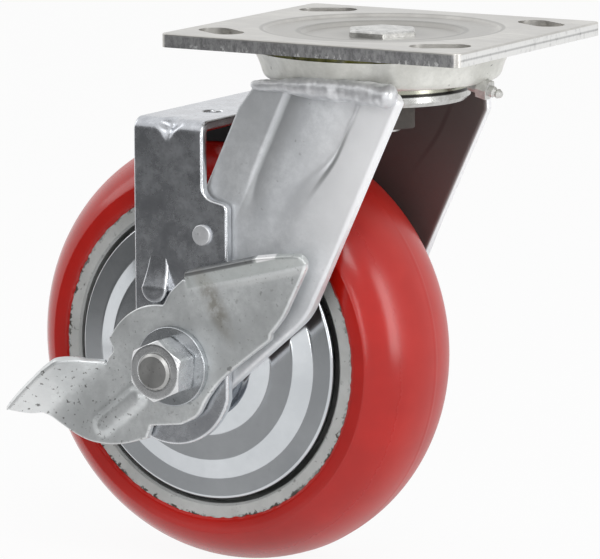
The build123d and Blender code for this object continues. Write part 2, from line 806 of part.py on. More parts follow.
with BuildPart() as brake_strap:
    # the fold over the wheel, seen along X
    with BuildSketch(Plane.YZ.offset(axle_x - strap_back)):
        with Locations((0, (strap_top + axle_z - strap_blank) / 2)):
            RectangleRounded(2 * strap_outer, strap_top - axle_z + strap_blank, strap_bend)
            RectangleRounded(
                2 * strap_inner,
                strap_top - axle_z + strap_blank - 2 * strap_thickness,
                strap_bend - strap_thickness,
                mode=Mode.SUBTRACT,
            )
    extrude(amount=strap_back + strap_foot_front)
    # both legs trimmed to their outline
    with BuildSketch(axle_plane(-strap_outer - 1)) as strap_outline:
        with BuildLine():
            Polyline(
                strap_end_at(-strap_back),
                (-strap_back, strap_top_height + 1),
                (strap_front, strap_top_height + 1),
                (strap_front, strap_step_height),
                (strap_foot_front, strap_step_height - strap_step_fall),
                strap_end_at(strap_foot_front),
            )
            ThreePointArc(
                strap_end_at(strap_foot_front),
                strap_end_at(-strap_end_shift),
                strap_end_at(-strap_back),
            )
        make_face()
        fillet(strap_outline.vertices().sort_by_distance((strap_front, strap_step_height))[0], 4.5)
        step_corner = (strap_foot_front, strap_step_height - strap_step_fall)
        fillet(strap_outline.vertices().sort_by_distance(step_corner)[0], 2.5)
    extrude(amount=2 * strap_outer + 2, mode=Mode.INTERSECT)
    # the polished outer edges
    outer_skin = brake_strap.faces().filter_by(
        lambda face: abs(abs(face.center().Y) - strap_outer) < 0.01
        or abs(face.center().Z - strap_top) < 0.01
        or (face.geom_type == GeomType.CYLINDER and abs(face.radius - strap_bend) < 0.01)
    )
    fillet(rim_edges(outer_skin), strap_edge_round)
    # stiffening dart pressed into each fold
    with BuildSketch(Plane.YZ.offset(strap_mid_x - 4)):
        for side in (-1, 1):
            with BuildLine():
                Polyline(
                    (side * strap_inner, strap_top - strap_thickness),
                    (side * strap_inner, strap_top - strap_thickness - 6),
                    (side * (strap_inner - 6), strap_top - strap_thickness),
                    close=True,
                )
            make_face()
    extrude(amount=8)
    for side in (-1, 1):
        dart_low = Vector(strap_mid_x, side * (strap_outer + 0.2), strap_top - dart_height)
        dart_high = Vector(strap_mid_x, side * (strap_outer - dart_depth), strap_top + 0.2)
        dart_left = Vector(strap_mid_x - dart_half_width, side * (strap_outer + 0.2), strap_top + 0.2)
        dart_right = Vector(strap_mid_x + dart_half_width, side * (strap_outer + 0.2), strap_top + 0.2)
        dart_sides = [
            (dart_low, dart_high, dart_left),
            (dart_low, dart_right, dart_high),
            (dart_low, dart_left, dart_right),
            (dart_high, dart_right, dart_left),
        ]
        dart = Solid(Shell([Face(Wire.make_polygon(corner, close=True)) for corner in dart_sides]))
        add(dart, mode=Mode.SUBTRACT)
    # upright slots round the two bushes on the axle
    with BuildSketch(axle_plane(-strap_outer - 1)):
        with Locations(Location((0, -brake_lift / 2), 90)):
            SlotCenterToCenter(brake_lift + slot_play, 2 * (bush_bore + strap_clearance))
    extrude(amount=2 * strap_outer + 2, mode=Mode.SUBTRACT)
    # holes for the guide pins
    with BuildSketch(axle_plane(-strap_outer - 1)):
        with Locations(pin_offset):
            Circle(pin_radius)
    extrude(amount=2 * strap_outer + 2, mode=Mode.SUBTRACT)
    # holes in the bridge
    with BuildSketch(Plane.XY.offset(strap_top - strap_thickness - 1)):
        with Locations((strap_mid_x + strap_hole_shift, 0)):
            with GridLocations(1, strap_hole_spacing, 1, 2):
                Circle(strap_hole_radius)
    extrude(amount=strap_thickness + 2, mode=Mode.SUBTRACT)
    add(finger.part)
write(brake_strap, "brake_strap")

with BuildPart() as guide_pin_near:
    with BuildSketch(axle_plane(leg_half_gap)):
        with Locations(pin_offset):
            Circle(pin_radius)
    extrude(amount=strap_outer + pin_stand - leg_half_gap)
    fillet(guide_pin_near.faces().sort_by(Axis.Y)[0].edges(), 0.6)
write(guide_pin_near, "guide_pin_near")

with BuildPart() as guide_pin_far:
    add(far_copy(guide_pin_near.part))
write(guide_pin_far, "guide_pin_far")

with BuildPart() as tread_cut:
    with BuildSketch(wheel_section):
        with BuildLine():
            crown_line(pad_gap)
            cut_half_width = tread_half_width + pad_gap
            Line((-cut_half_width, tread_rim_radius), (cut_half_width, tread_rim_radius))
        make_face()
    revolve(axis=axle_line)

pad_top = strap_top - strap_thickness
with BuildPart() as brake_pad:
    with BuildSketch(Plane.XY.offset(pad_top - pad_depth)):
        with Locations((strap_mid_x, 0)):
            RectangleRounded(pad_length, pad_width, 3)
    extrude(amount=pad_depth)
    add(tread_cut.part, mode=Mode.SUBTRACT)
    # seat of the stud, whose head lies in a pocket of the pad
    with BuildSketch(Plane.XY.offset(pad_top - stud_length)):
        with Locations((strap_mid_x, 0)):
            Circle(stud_head_radius)
    extrude(amount=stud_length / 2, mode=Mode.SUBTRACT)
    with BuildSketch(Plane.XY.offset(pad_top - stud_length)):
        with Locations((strap_mid_x, 0)):
            Circle(stud_radius)
    extrude(amount=stud_length, mode=Mode.SUBTRACT)
write(brake_pad, "brake_pad")

with BuildPart() as pad_stud:
    with BuildSketch(Plane.XY.offset(pad_top - stud_length)):
        with Locations((strap_mid_x, 0)):
            Circle(stud_head_radius)
    extrude(amount=stud_length / 2)
    with BuildSketch(Plane.XY.offset(pad_top - stud_length)):
        with Locations((strap_mid_x, 0)):
            Circle(stud_radius)
    extrude(amount=stud_length)
write(pad_stud, "pad_stud")

# ---------------------------------------------------------------- brake pedal


def cam_point(turn):
    """Point of the cam edge under the finger once the pedal has turned by so many degrees."""
    lifted = hypot(finger_x, finger_z + turn * lift_per_degree)
    radius = lifted - finger_radius - cam_clearance
    angle = radians(degrees(atan2(finger_z + turn * lift_per_degree, finger_x)) + turn)
    return (radius * cos(angle), radius * sin(angle))


def polar(radius, angle):
    """Point at a radius and an angle in degrees from the axle."""
    return (radius * cos(radians(angle)), radius * sin(radians(angle)))


wing_along = (cos(radians(wing_slope)), sin(radians(wing_slope)))
wing_up = (-wing_along[1], wing_along[0])
toe_along = (-cos(radians(toe_slope)), -sin(radians(toe_slope)))
toe_out = (toe_along[1], -toe_along[0])


def from_fold(fold, along, across, t, w):
    """Point at a distance t along a fold line and w away from it."""
    return (fold[0] + t * along[0] + w * across[0], fold[1] + t * along[1] + w * across[1])


def wing(t, w):
    return from_fold(wing_fold, wing_along, wing_up, t, w)


def toe(t, w):
    return from_fold(toe_fold, toe_along, toe_out, t, w)


def bent_strip_end(fold, along, across, start, width, bend):
    """End face of a flange along a fold line: a bend, then a flat strip leaning out towards -Y."""
    origin = from_fold(fold, along, across, start, 0)
    plane = Plane(
        origin=(axle_x + origin[0], -pedal_outer, axle_z + origin[1]),
        x_dir=(across[0], 0, across[1]),
        z_dir=(along[0], 0, along[1]),
    )
    # the plane's own second axis points along Y, outwards or inwards
    out = 1 if plane.y_dir.Y < 0 else -1
    lean_x, lean_y = cos(radians(bend)), out * sin(radians(bend))
    with BuildSketch(plane) as strip_end:
        with BuildLine():
            s1 = Line((0, 0), (width * lean_x, width * lean_y))
            s2 = Line(
                s1 @ 1,
                (
                    width * lean_x + pedal_thickness * out * lean_y,
                    width * lean_y - out * pedal_thickness * lean_x,
                ),
            )
            s3 = Line(s2 @ 1, (pedal_thickness * out * lean_y, -out * pedal_thickness * lean_x))
            half = radians(bend / 2)
            s4 = ThreePointArc(
                s3 @ 1,
                (pedal_thickness * sin(half), -out * pedal_thickness * cos(half)),
                (0, -out * pedal_thickness),
            )
            Line(s4 @ 1, (0, 0))
        make_face()
    return strip_end.sketch


wing_lean = cos(radians(wing_bend)) * wing_width
with BuildPart() as wing_flange:
    wing_section = bent_strip_end(wing_fold, wing_along, wing_up, wing_start, wing_width, wing_bend)
    extrude(wing_section, amount=wing_end - wing_start)
    with BuildSketch(axle_plane(pedal_inner - 20)):
        with BuildLine():
            w1 = Polyline(
                wing(wing_start - 1, -8),
                wing(wing_start - 1, wing_lean + 8),
                wing(wing_end - 15, wing_lean + 8),
                wing(wing_end - 15, wing_lean + 0.5),
            )
            w2 = ThreePointArc(
                w1 @ 1,
                wing(wing_end - 5.4, wing_lean - 2.0),
                wing(wing_end, -0.6),
            )
            Polyline(w2 @ 1, wing(wing_end, -8), w1 @ 0)
        make_face()
    extrude(amount=60, mode=Mode.INTERSECT)

with BuildPart() as toe_flange:
    toe_section = bent_strip_end(toe_fold, toe_along, toe_out, toe_start, toe_width, toe_bend)
    extrude(toe_section, amount=toe_end - toe_start)
    toe_lean = cos(radians(toe_bend))
    with BuildSketch(axle_plane(pedal_inner - 20)) as toe_limit:
        with BuildLine():
            Polyline(
                toe(-1.0, -6),
                toe(-0.5, 1.0),
                toe(9.0, 12.2 * toe_lean),
                toe(15.0, 14.2 * toe_lean),
                toe(39.0, 12.8 * toe_lean),
                toe(39.0, 11.0 * toe_lean),
                toe(32.0, 1.5),
                toe(31.0, -6),
                close=True,
            )
        make_face()
        fillet(toe_limit.vertices().sort_by_distance(toe(9.0, 12.2 * toe_lean))[0], 5)
        fillet(toe_limit.vertices().sort_by_distance(toe(32.0, 1.5))[0], 6)
    extrude(amount=60, mode=Mode.INTERSECT)

with BuildPart() as brake_pedal:
    with BuildSketch(axle_plane(pedal_inner)):
        with BuildLine():
            cam = Spline([cam_point(turn) for turn in (-6, 4, 16, 28, 40, 52, 58)])
            Spline(
                cam @ 1,
                polar(27.5, 166),
                polar(25.2, 173),
                polar(26.6, 179.5),
                toe_fold,
                tangents=[cam % 1, Vector(*toe_along, 0)],
            )
            Line(toe_fold, toe(31.0, 0))
            bottom = Spline(
                toe(31.0, 0),
                (-39.6, -28.9),
                toe_low,
                (-21.4, -29.8),
                (-11.6, -26.8),
            )
            Polyline(bottom @ 1, (-9.9, -22.2), (2.3, -20.5))
            sweep_edge = Spline(
                (2.3, -20.5),
                (8.8, -16.8),
                (13.4, -9.6),
                (20.5, -1.6),
                (37.9, 12.2),
            )
            Line(sweep_edge @ 1, (37.9, 14.6))
            tip = ThreePointArc((37.9, 14.6), wing_tip, wing(wing_end, -0.6))
            Polyline(tip @ 1, wing(wing_end, 0), wing(wing_start, 0), (4.2, 25.6), cam @ 0)
        make_face()
    extrude(amount=pedal_thickness)
    # eased edges along the underside of the toe and the front of the wing
    pedal_rim = brake_pedal.faces().sort_by(Axis.Y)[0].outer_wire().edges()
    on_face = axle_plane(pedal_outer)
    eased = [on_face.from_local_coords(Vector(*point, 0)) for point in (toe_low, wing_tip)]
    fillet(
        pedal_rim.filter_by(lambda edge: min(edge.distance_to(point) for point in eased) < 0.5),
        pedal_round,
    )
    add(wing_flange.part)
    add(toe_flange.part)
    # stiffening rib between hub and toe
    rib_run = (rib_end[0] - rib_start[0], rib_end[1] - rib_start[1])
    rib_middle = ((rib_start[0] + rib_end[0]) / 2, (rib_start[1] + rib_end[1]) / 2)
    with BuildSketch(axle_plane(pedal_outer)):
        with Locations(Location(rib_middle, degrees(atan2(rib_run[1], rib_run[0])))):
            SlotOverall(hypot(*rib_run) + 2 * rib_radius, 2 * rib_radius)
    extrude(amount=rib_height, taper=45)
    with BuildSketch(axle_plane(pedal_inner - 1)):
        Circle(bush_bore)
    extrude(amount=pedal_thickness + 2, mode=Mode.SUBTRACT)
write(brake_pedal, "brake_pedal")
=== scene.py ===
import math
import bpy
import numpy as np
from mathutils import Matrix, Vector
from mathutils.geometry import delaunay_2d_cdt


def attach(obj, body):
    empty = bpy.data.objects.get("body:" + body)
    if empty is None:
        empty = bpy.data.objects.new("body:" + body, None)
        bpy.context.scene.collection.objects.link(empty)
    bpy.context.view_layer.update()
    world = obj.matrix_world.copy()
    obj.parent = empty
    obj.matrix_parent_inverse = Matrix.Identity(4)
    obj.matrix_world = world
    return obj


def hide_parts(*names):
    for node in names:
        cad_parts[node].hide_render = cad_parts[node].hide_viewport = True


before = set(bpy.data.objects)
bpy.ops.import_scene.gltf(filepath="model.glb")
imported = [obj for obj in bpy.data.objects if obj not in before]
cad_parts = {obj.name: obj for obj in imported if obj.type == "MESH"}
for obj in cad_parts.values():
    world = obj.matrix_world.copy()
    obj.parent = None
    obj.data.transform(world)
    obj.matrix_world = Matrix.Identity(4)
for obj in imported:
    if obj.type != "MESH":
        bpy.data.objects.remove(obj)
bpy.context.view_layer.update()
print("castor: frame loaded")

mm = 0.001
axleX, axleZ = -55.0, -114.3  # wheel axle, mm from the swivel axis and the plate's top


# surfaces: grids of points in millimetres

def gridFaces(rows, cols, closedRows=True):
    # quads of a grid that wraps round along its columns, and along its rows too if they are closed
    r = np.arange(rows if closedRows else rows - 1)
    i, j = np.meshgrid(r, np.arange(cols), indexing="ij")
    i2, j2 = (i + 1) % rows, (j + 1) % cols
    return np.stack([i * cols + j, i * cols + j2, i2 * cols + j2, i2 * cols + j], -1).reshape(-1, 4)


def makePiece(name, points, blocks, body, material, flip=False):
    # faces come in blocks of quads or of triangles; the mesh holds the place
    faces = sum(((block[:, ::-1] if flip else block).tolist() for block in blocks), [])
    mesh = bpy.data.meshes.new(name)
    mesh.from_pydata((np.reshape(points, (-1, 3)) * mm).tolist(), [], faces)
    mesh.polygons.foreach_set("use_smooth", np.full(len(faces), True))
    mesh.materials.append(material)
    mesh.validate()
    mesh.update()
    piece = bpy.data.objects.new(name, mesh)
    bpy.context.scene.collection.objects.link(piece)
    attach(piece, body)
    return piece


def smoothStep(a, b, x):
    # 0 below a, 1 above b, a cubic S between them
    t = np.clip((x - a) / (b - a), 0, 1)
    return t * t * (3 - 2 * t)


def softNoise(p, scale, seed, octaves):
    # sum of sine waves in random directions, about -1 to 1, at a wavelength of scale
    rng = np.random.default_rng(seed)
    total = np.zeros(p.shape[:-1])
    weight = 0.0
    for octave in range(octaves):
        amount = 0.55 ** octave
        for _ in range(5):
            way = rng.normal(size=3)
            way *= 2 * math.pi / (scale * 0.6 ** octave * np.linalg.norm(way)) * rng.uniform(0.7, 1.4)
            total += amount * np.sin(p @ way + rng.uniform(0, 6.28)) / 5 ** 0.5
        weight += amount
    return total / weight


def turnSteps(steps):
    # angles of one whole turn
    return np.linspace(0, 2 * math.pi, steps, endpoint=False)


def onCircle(turn, radius=1.0):
    # points at the angles on a circle round 0
    return radius * np.stack([np.cos(turn), np.sin(turn)], -1)


def spin(section, steps):
    # a closed section of (along Y, radius) turned round the axle
    turn = turnSteps(steps)[:, None]
    along = np.broadcast_to(section[:, 0], (steps, len(section)))
    radius = section[:, 1][None, :]
    return np.stack([axleX + radius * np.cos(turn), along, axleZ + radius * np.sin(turn)], -1)


# lines in a plane

def softLine(points, spacing):
    # Catmull-Rom line through the points, resampled at an even spacing
    p = np.asarray(points, float)
    p = np.vstack([2 * p[0] - p[1], p, 2 * p[-1] - p[-2]])
    out = []
    for p0, p1, p2, p3 in zip(p, p[1:], p[2:], p[3:]):
        steps = max(2, int(np.ceil(np.linalg.norm(p2 - p1) / spacing)))
        t = np.linspace(0, 1, steps, endpoint=False)[:, None]
        out.append(0.5 * (2 * p1 + (p2 - p0) * t + (2 * p0 - 5 * p1 + 4 * p2 - p3) * t ** 2
                          + (3 * p1 - p0 - 3 * p2 + p3) * t ** 3))
    return np.concatenate(out + [p[-2:-1]])


def evenLine(points, spacing):
    # a closed line cut into steps no longer than the spacing, keeping its corners
    nextPoint = np.roll(points, -1, 0)
    length = np.linalg.norm(nextPoint - points, axis=1)
    keep = length > 1e-4
    points, nextPoint, length = points[keep], nextPoint[keep], length[keep]
    steps = np.maximum(1, np.ceil(length / spacing)).astype(int)
    index = np.repeat(np.arange(len(points)), steps)
    share = (np.arange(len(index)) - np.repeat(np.cumsum(steps) - steps, steps)) / np.repeat(steps, steps)
    line = points[index] + (nextPoint[index] - points[index]) * share[:, None]
    x, y = line.T
    area = (x * np.roll(y, -1) - y * np.roll(x, -1)).sum()
    return line if area > 0 else line[::-1]


def roundedLine(points, radii, spacing):
    # a closed polygon whose corners are replaced by arcs of the given radii, sampled evenly
    p = np.asarray(points, float)
    out = []
    for k, r in enumerate(radii):
        before, here, after = p[k - 1], p[k], p[(k + 1) % len(p)]
        a, b = before - here, after - here
        a, b = a / np.linalg.norm(a), b / np.linalg.norm(b)
        half = math.acos(np.clip(a @ b, -1, 1)) / 2
        if r < 0.01 or half > 1.56:
            out.append(here[None])
            continue
        centre = here + (a + b) / np.linalg.norm(a + b) * r / math.sin(half)
        start, end = here + a * r / math.tan(half) - centre, here + b * r / math.tan(half) - centre
        sweep = math.atan2(start[0] * end[1] - start[1] * end[0], start @ end)
        turn = np.linspace(0, sweep, max(3, int(abs(sweep) * r / spacing) + 2))[:, None]
        side = np.array([-start[1], start[0]])
        out.append(centre + start * np.cos(turn) + side * np.sin(turn))
    return evenLine(np.concatenate(out), spacing)


def slotLine(centre, length, radius):
    # two half circles joined by straight sides, upright
    cap = onCircle(np.linspace(0, math.pi, 24), radius)
    both = np.concatenate([cap + [0, length / 2], -cap - [0, length / 2]])
    return evenLine(np.array(centre) + both, 0.8)


# sheets: an outline filled with triangles, then given a height, a thickness and rounded edges

def inBlocks(points):
    # a few thousand points at a time, to keep the tables small
    return np.array_split(points, max(1, len(points) // 2000))


def isInside(points, loop):
    # even-odd rule: a level ray to the point's right crosses the loop an odd number of times
    x1, y1 = loop.T
    x2, y2 = np.roll(loop, -1, 0).T
    answer = []
    for part in inBlocks(points):
        x, y = part[:, :1], part[:, 1:]
        crosses = (y1 > y) != (y2 > y)
        at = (x2 - x1) * (y - y1) / np.where(np.abs(y2 - y1) < 1e-12, 1e-12, y2 - y1) + x1
        answer.append((crosses & (x < at)).sum(1) % 2 == 1)
    return np.concatenate(answer)


def nearest(points, others):
    # distance from each point to the nearest of the others
    return np.concatenate([np.sqrt(((part[:, None] - others[None]) ** 2).sum(-1).min(1))
                           for part in inBlocks(points)])


def sheetPoints(loops, spacing, insets):
    # border loops, their inset loops and an even field of points, each with its depth from the border
    border = np.concatenate(loops)
    points, depth = [border], [np.zeros(len(border))]
    for k, loop in enumerate(loops):
        ahead = np.roll(loop, -1, 0) - np.roll(loop, 1, 0)
        ahead /= np.linalg.norm(ahead, axis=1, keepdims=True)
        inward = np.stack([-ahead[:, 1], ahead[:, 0]], -1) * (1 if k == 0 else -1)
        for inset in insets:
            ring = loop + inward * inset
            ring = ring[nearest(ring, border) > 0.86 * inset]
            points.append(ring)
            depth.append(np.full(len(ring), inset))
    low, high = loops[0].min(0), loops[0].max(0)
    rows = np.arange(low[1], high[1], spacing * 0.866)
    cols = np.arange(low[0], high[0], spacing)
    field = np.stack(np.meshgrid(cols, rows), -1)
    field[1::2, :, 0] += spacing / 2
    field = field.reshape(-1, 2)
    field = field[isInside(field, loops[0])]
    field = field[nearest(field, border) > insets[-1] + 0.5 * spacing]
    points.append(field)
    depth.append(np.full(len(field), 1e3))
    return np.concatenate(points), np.concatenate(depth)


def sheetPlan(loops, spacing, insets):
    # the points joined into triangles that keep the loops as edges; what lies in a hole is dropped
    points, depth = sheetPoints(loops, spacing, insets)
    edges, start = [], 0
    for loop in loops:
        ring = np.arange(len(loop))
        edges += np.stack([start + ring, start + (ring + 1) % len(loop)], -1).tolist()
        start += len(loop)
    made = delaunay_2d_cdt([Vector(q) for q in points.tolist()], edges, [], 0, 1e-7)
    coords = np.array([tuple(q) for q in made[0]])
    depth = depth[np.array([orig[0] for orig in made[3]])]
    tris = np.array(made[2])
    middle = coords[tris].mean(1)
    keep = isInside(middle, loops[0])
    for hole in loops[1:]:
        keep &= ~isInside(middle, hole)
    tris = tris[keep]
    a, b, c = coords[tris[:, 0]], coords[tris[:, 1]], coords[tris[:, 2]]
    turn = (b - a)[:, 0] * (c - a)[:, 1] - (b - a)[:, 1] * (c - a)[:, 0]
    tris, turn = tris[np.abs(turn) > 1e-9], turn[np.abs(turn) > 1e-9]
    tris[turn < 0] = tris[turn < 0][:, ::-1]
    used, index = np.unique(tris, return_inverse=True)
    return coords[used], depth[used], index.reshape(-1, 3)


def makeSheet(name, loops, place, relief, thickness, body, material, spacing, edge=0.9,
              wearWidth=1.0, flip=False, flatBack=False):
    # front skin at the relief's height, back skin a thickness behind it along the normal or flat;
    # both fall away in a quarter circle at the border, and a wall joins them
    plan, depth, tris = sheetPlan(loops, spacing, edge * np.array([0.08, 0.29, 0.62, 1.0, 1.5]))
    step = 0.05
    height = relief(plan)
    slopeU = (relief(plan + [step, 0]) - relief(plan - [step, 0])) / (2 * step)
    slopeV = (relief(plan + [0, step]) - relief(plan - [0, step])) / (2 * step)
    normal = np.stack([-slopeU, -slopeV, np.ones(len(plan))], -1)
    normal /= np.linalg.norm(normal, axis=1, keepdims=True)
    skin = np.column_stack([plan, height])
    near = np.clip(edge - depth, 0, edge)
    drop = (edge - np.sqrt(np.clip(edge ** 2 - near ** 2, 0, None)))[:, None]
    front = skin - normal * drop
    back = np.column_stack([plan, drop[:, 0] - thickness]) if flatBack else skin - normal * (thickness - drop)
    both = np.concatenate([front, back])
    points = place(both[:, 0], both[:, 1], both[:, 2])
    count = len(plan)
    sides = np.concatenate([tris[:, [0, 1]], tris[:, [1, 2]], tris[:, [2, 0]]])
    key = sides.min(1) * count + sides.max(1)
    _, first, times = np.unique(key, return_index=True, return_counts=True)
    a, b = sides[first[times == 1]].T
    walls = np.concatenate([np.stack([a, a + count, b + count], -1), np.stack([a, b + count, b], -1)])
    piece = makePiece(name, points, [tris, tris[:, ::-1] + count, walls], body, material, flip)
    wear = 1 - smoothStep(0, wearWidth, depth)
    attribute = piece.data.attributes.new("wear", "FLOAT", "POINT")
    attribute.data.foreach_set("value", np.concatenate([wear, wear]))
    return piece


def nearFace(outer):
    # placing function of a flat sheet that faces -Y: u and v from the axle, h outwards
    return lambda u, v, h: np.stack([axleX + u, -(outer + h), axleZ + v], -1)


# materials: short makers of nodes; each takes sockets or plain values and gives the result's socket

def feed(tree, value, target):
    # a socket is linked, a plain value is set
    if hasattr(value, "links"):
        tree.links.new(value, target)
    else:
        target.default_value = value


def mixColor(tree, factor, a, b):
    # a where the factor is 0, b where it is 1
    made = tree.nodes.new("ShaderNodeMix")
    made.data_type = "RGBA"
    for index, value in ((0, factor), (6, a), (7, b)):
        feed(tree, value, made.inputs[index])
    return made.outputs[2]


def mixValue(tree, factor, a, b):
    # the same for plain values
    made = tree.nodes.new("ShaderNodeMix")
    for index, value in ((0, factor), (2, a), (3, b)):
        feed(tree, value, made.inputs[index])
    return made.outputs[0]


def calc(tree, operation, a, b=0.0, clamp=False):
    # one maths node
    made = tree.nodes.new("ShaderNodeMath")
    made.operation = operation
    made.use_clamp = clamp
    feed(tree, a, made.inputs[0])
    feed(tree, b, made.inputs[1])
    return made.outputs[0]


def product(tree, first, *others):
    # all values multiplied
    for other in others:
        first = calc(tree, "MULTIPLY", first, other)
    return first


def weighted(tree, a, b, weightA, weightB):
    # a and b added with weights
    return calc(tree, "ADD", product(tree, a, weightA), product(tree, b, weightB))


def hypot(tree, a, b, weight=1.0):
    # root of a squared times its weight, plus b squared
    return calc(tree, "SQRT", weighted(tree, product(tree, a, a), product(tree, b, b), weight, 1.0))


def rise(tree, value, low, high, outLow=0.0, outHigh=1.0):
    # maps a value from low..high to outLow..outHigh, smoothly and without overshoot
    made = tree.nodes.new("ShaderNodeMapRange")
    made.interpolation_type = "SMOOTHSTEP"
    tree.links.new(value, made.inputs["Value"])
    for key, number in (("From Min", low), ("From Max", high), ("To Min", outLow), ("To Max", outHigh)):
        made.inputs[key].default_value = number
    return made.outputs[0]


def band(tree, value, middle, inner, outer, most=1.0):
    # most within inner of the middle, falling to 0 at outer
    away = calc(tree, "ABSOLUTE", calc(tree, "SUBTRACT", value, middle))
    return rise(tree, away, inner, outer, most, 0.0)


def noise(tree, where, scale, detail=4.0, rough=0.6, distortion=0.0, stretch=None):
    # noise at a place; stretch below 1 draws the pattern out along an axis
    made = tree.nodes.new("ShaderNodeTexNoise")
    if stretch is not None:
        mapping = tree.nodes.new("ShaderNodeMapping")
        mapping.inputs["Scale"].default_value = stretch
        tree.links.new(where, mapping.inputs["Vector"])
        where = mapping.outputs[0]
    settings = {"Vector": where, "Scale": scale, "Detail": detail, "Roughness": rough,
                "Distortion": distortion}
    for key, value in settings.items():
        feed(tree, value, made.inputs[key])
    return made.outputs["Fac"]


def axisValues(tree):
    # Object coordinates, and their X, Y and Z in millimetres
    place = tree.nodes.new("ShaderNodeTexCoord").outputs["Object"]
    scaled = tree.nodes.new("ShaderNodeVectorMath")
    scaled.operation = "SCALE"
    scaled.inputs["Scale"].default_value = 1 / mm
    tree.links.new(place, scaled.inputs[0])
    split = tree.nodes.new("ShaderNodeSeparateXYZ")
    tree.links.new(scaled.outputs[0], split.inputs[0])
    return place, split.outputs[0], split.outputs[1], split.outputs[2]


def fromAxle(tree, x, z):
    # distance from the wheel's axle
    return hypot(tree, calc(tree, "SUBTRACT", x, axleX), calc(tree, "SUBTRACT", z, axleZ))


def newMaterial(name):
    # the material, its nodes and its shader
    made = bpy.data.materials.new(name)
    made.use_nodes = True
    return made, made.node_tree, made.node_tree.nodes["Principled BSDF"]


def dress(tree, shader, colour, rough, height, bump, distance):
    # the patterns reach the shader: tone, roughness and, through a bump, relief
    bumpNode = tree.nodes.new("ShaderNodeBump")
    bumpNode.inputs["Strength"].default_value = bump
    bumpNode.inputs["Distance"].default_value = distance
    tree.links.new(height, bumpNode.inputs["Height"])
    tree.links.new(colour, shader.inputs["Base Color"])
    tree.links.new(rough, shader.inputs["Roughness"])
    tree.links.new(bumpNode.outputs[0], shader.inputs["Normal"])


def newGroup(name, inputs, outputs):
    # a node group; inputs and outputs are named with their default values
    group = bpy.data.node_groups.new(name, "ShaderNodeTree")
    for inOut, items in (("INPUT", inputs), ("OUTPUT", outputs)):
        for key, value in items.items():
            kind = "NodeSocketColor" if isinstance(value, tuple) else "NodeSocketFloat"
            item = group.interface.new_socket(name=key, in_out=inOut, socket_type=kind)
            item.default_value = value
    return group, group.nodes.new("NodeGroupInput").outputs, group.nodes.new("NodeGroupOutput").inputs


steelGrey = (0.6, 0.6, 0.6, 1)
zinc = {
    "inputs": {"Light": (0.62, 0.63, 0.63, 1), "Dark": (0.40, 0.41, 0.41, 1), "Speck": (0.10, 0.095, 0.09, 1),
               "Cloud Scale": 60.0, "Speck Amount": 0.3, "Mottle": 0.35, "Rough Low": 0.25,
               "Rough High": 0.45},
    "fineScale": 900.0, "speckScale": 420.0, "patchScale": 38.0, "grainScale": 340.0, "speckRough": 0.3,
}


def zincGroup():
    # plated steel: two tones in clouds and close grain, with specks that keep to patches
    group, given, result = newGroup("zincPlating", zinc["inputs"],
                                    {"Color": steelGrey, "Roughness": 0.4, "Height": 0.0})
    place = group.nodes.new("ShaderNodeTexCoord").outputs["Object"]
    cloud = rise(group, noise(group, place, given["Cloud Scale"], 5.0, 0.65), 0.32, 0.68)
    fine = noise(group, place, zinc["fineScale"], 3.0)
    specks = rise(group, noise(group, place, zinc["speckScale"], 2.0, 0.5), 0.66, 0.74)
    patches = rise(group, noise(group, place, zinc["patchScale"], 3.0), 0.45, 0.62)
    speckMask = product(group, specks, patches, given["Speck Amount"])
    grain = rise(group, noise(group, place, zinc["grainScale"], 5.0, 0.75), 0.38, 0.66)
    tone = mixColor(group, cloud, given["Dark"], given["Light"])
    tone = mixColor(group, product(group, grain, given["Mottle"]), tone, given["Dark"])
    feed(group, mixColor(group, speckMask, tone, given["Speck"]), result["Color"])
    rough = mixValue(group, weighted(group, cloud, fine, 0.5, 0.5), given["Rough Low"], given["Rough High"])
    rough = calc(group, "ADD", rough, product(group, speckMask, zinc["speckRough"]), clamp=True)
    feed(group, rough, result["Roughness"])
    low = weighted(group, cloud, speckMask, 0.5, -0.8)
    feed(group, calc(group, "ADD", product(group, fine, 0.35), low), result["Height"])
    return group


def wearGroup():
    # edge wear: bright, smoother steel by the share of the wear mask
    surface = {"Color": steelGrey, "Roughness": 0.4}
    group, given, result = newGroup("edgeWear", {**surface, "Wear": 0.0, "Share": 0.3}, surface)
    amount = product(group, given["Wear"], given["Share"])
    feed(group, mixColor(group, amount, given["Color"], (0.86, 0.87, 0.88, 1)), result["Color"])
    smoother = calc(group, "SUBTRACT", given["Roughness"], product(group, amount, 0.15), clamp=True)
    feed(group, smoother, result["Roughness"])
    return group


zincPlating = zincGroup()
edgeWear = wearGroup()


def worn(tree, colour, rough, share):
    # edge wear that follows the mesh's own wear attribute
    mask = tree.nodes.new("ShaderNodeAttribute")
    mask.attribute_name = "wear"
    wear = tree.nodes.new("ShaderNodeGroup")
    wear.node_tree = edgeWear
    settings = {"Color": colour, "Roughness": rough, "Wear": mask.outputs["Fac"], "Share": share}
    for key, value in settings.items():
        feed(tree, value, wear.inputs[key])
    return wear.outputs["Color"], wear.outputs["Roughness"]


def plated(name, light, dark, metallic=1.0, roughness=(0.28, 0.45), cloud=60.0, specks=0.3, bump=0.05,
           mottle=0.35, extra=None):
    # a plated steel finish; extra may change tone, roughness and height before they reach the shader
    made, tree, shader = newMaterial(name)
    shader.inputs["Metallic"].default_value = metallic
    finish = tree.nodes.new("ShaderNodeGroup")
    finish.node_tree = zincPlating
    settings = {"Light": light, "Dark": dark, "Cloud Scale": cloud, "Speck Amount": specks, "Mottle": mottle,
                "Rough Low": roughness[0], "Rough High": roughness[1]}
    for key, value in settings.items():
        finish.inputs[key].default_value = value
    surface = finish.outputs["Color"], finish.outputs["Roughness"], finish.outputs["Height"]
    if extra is not None:
        surface = extra(tree, *surface)
    dress(tree, shader, *surface, bump, 0.0004)
    return made


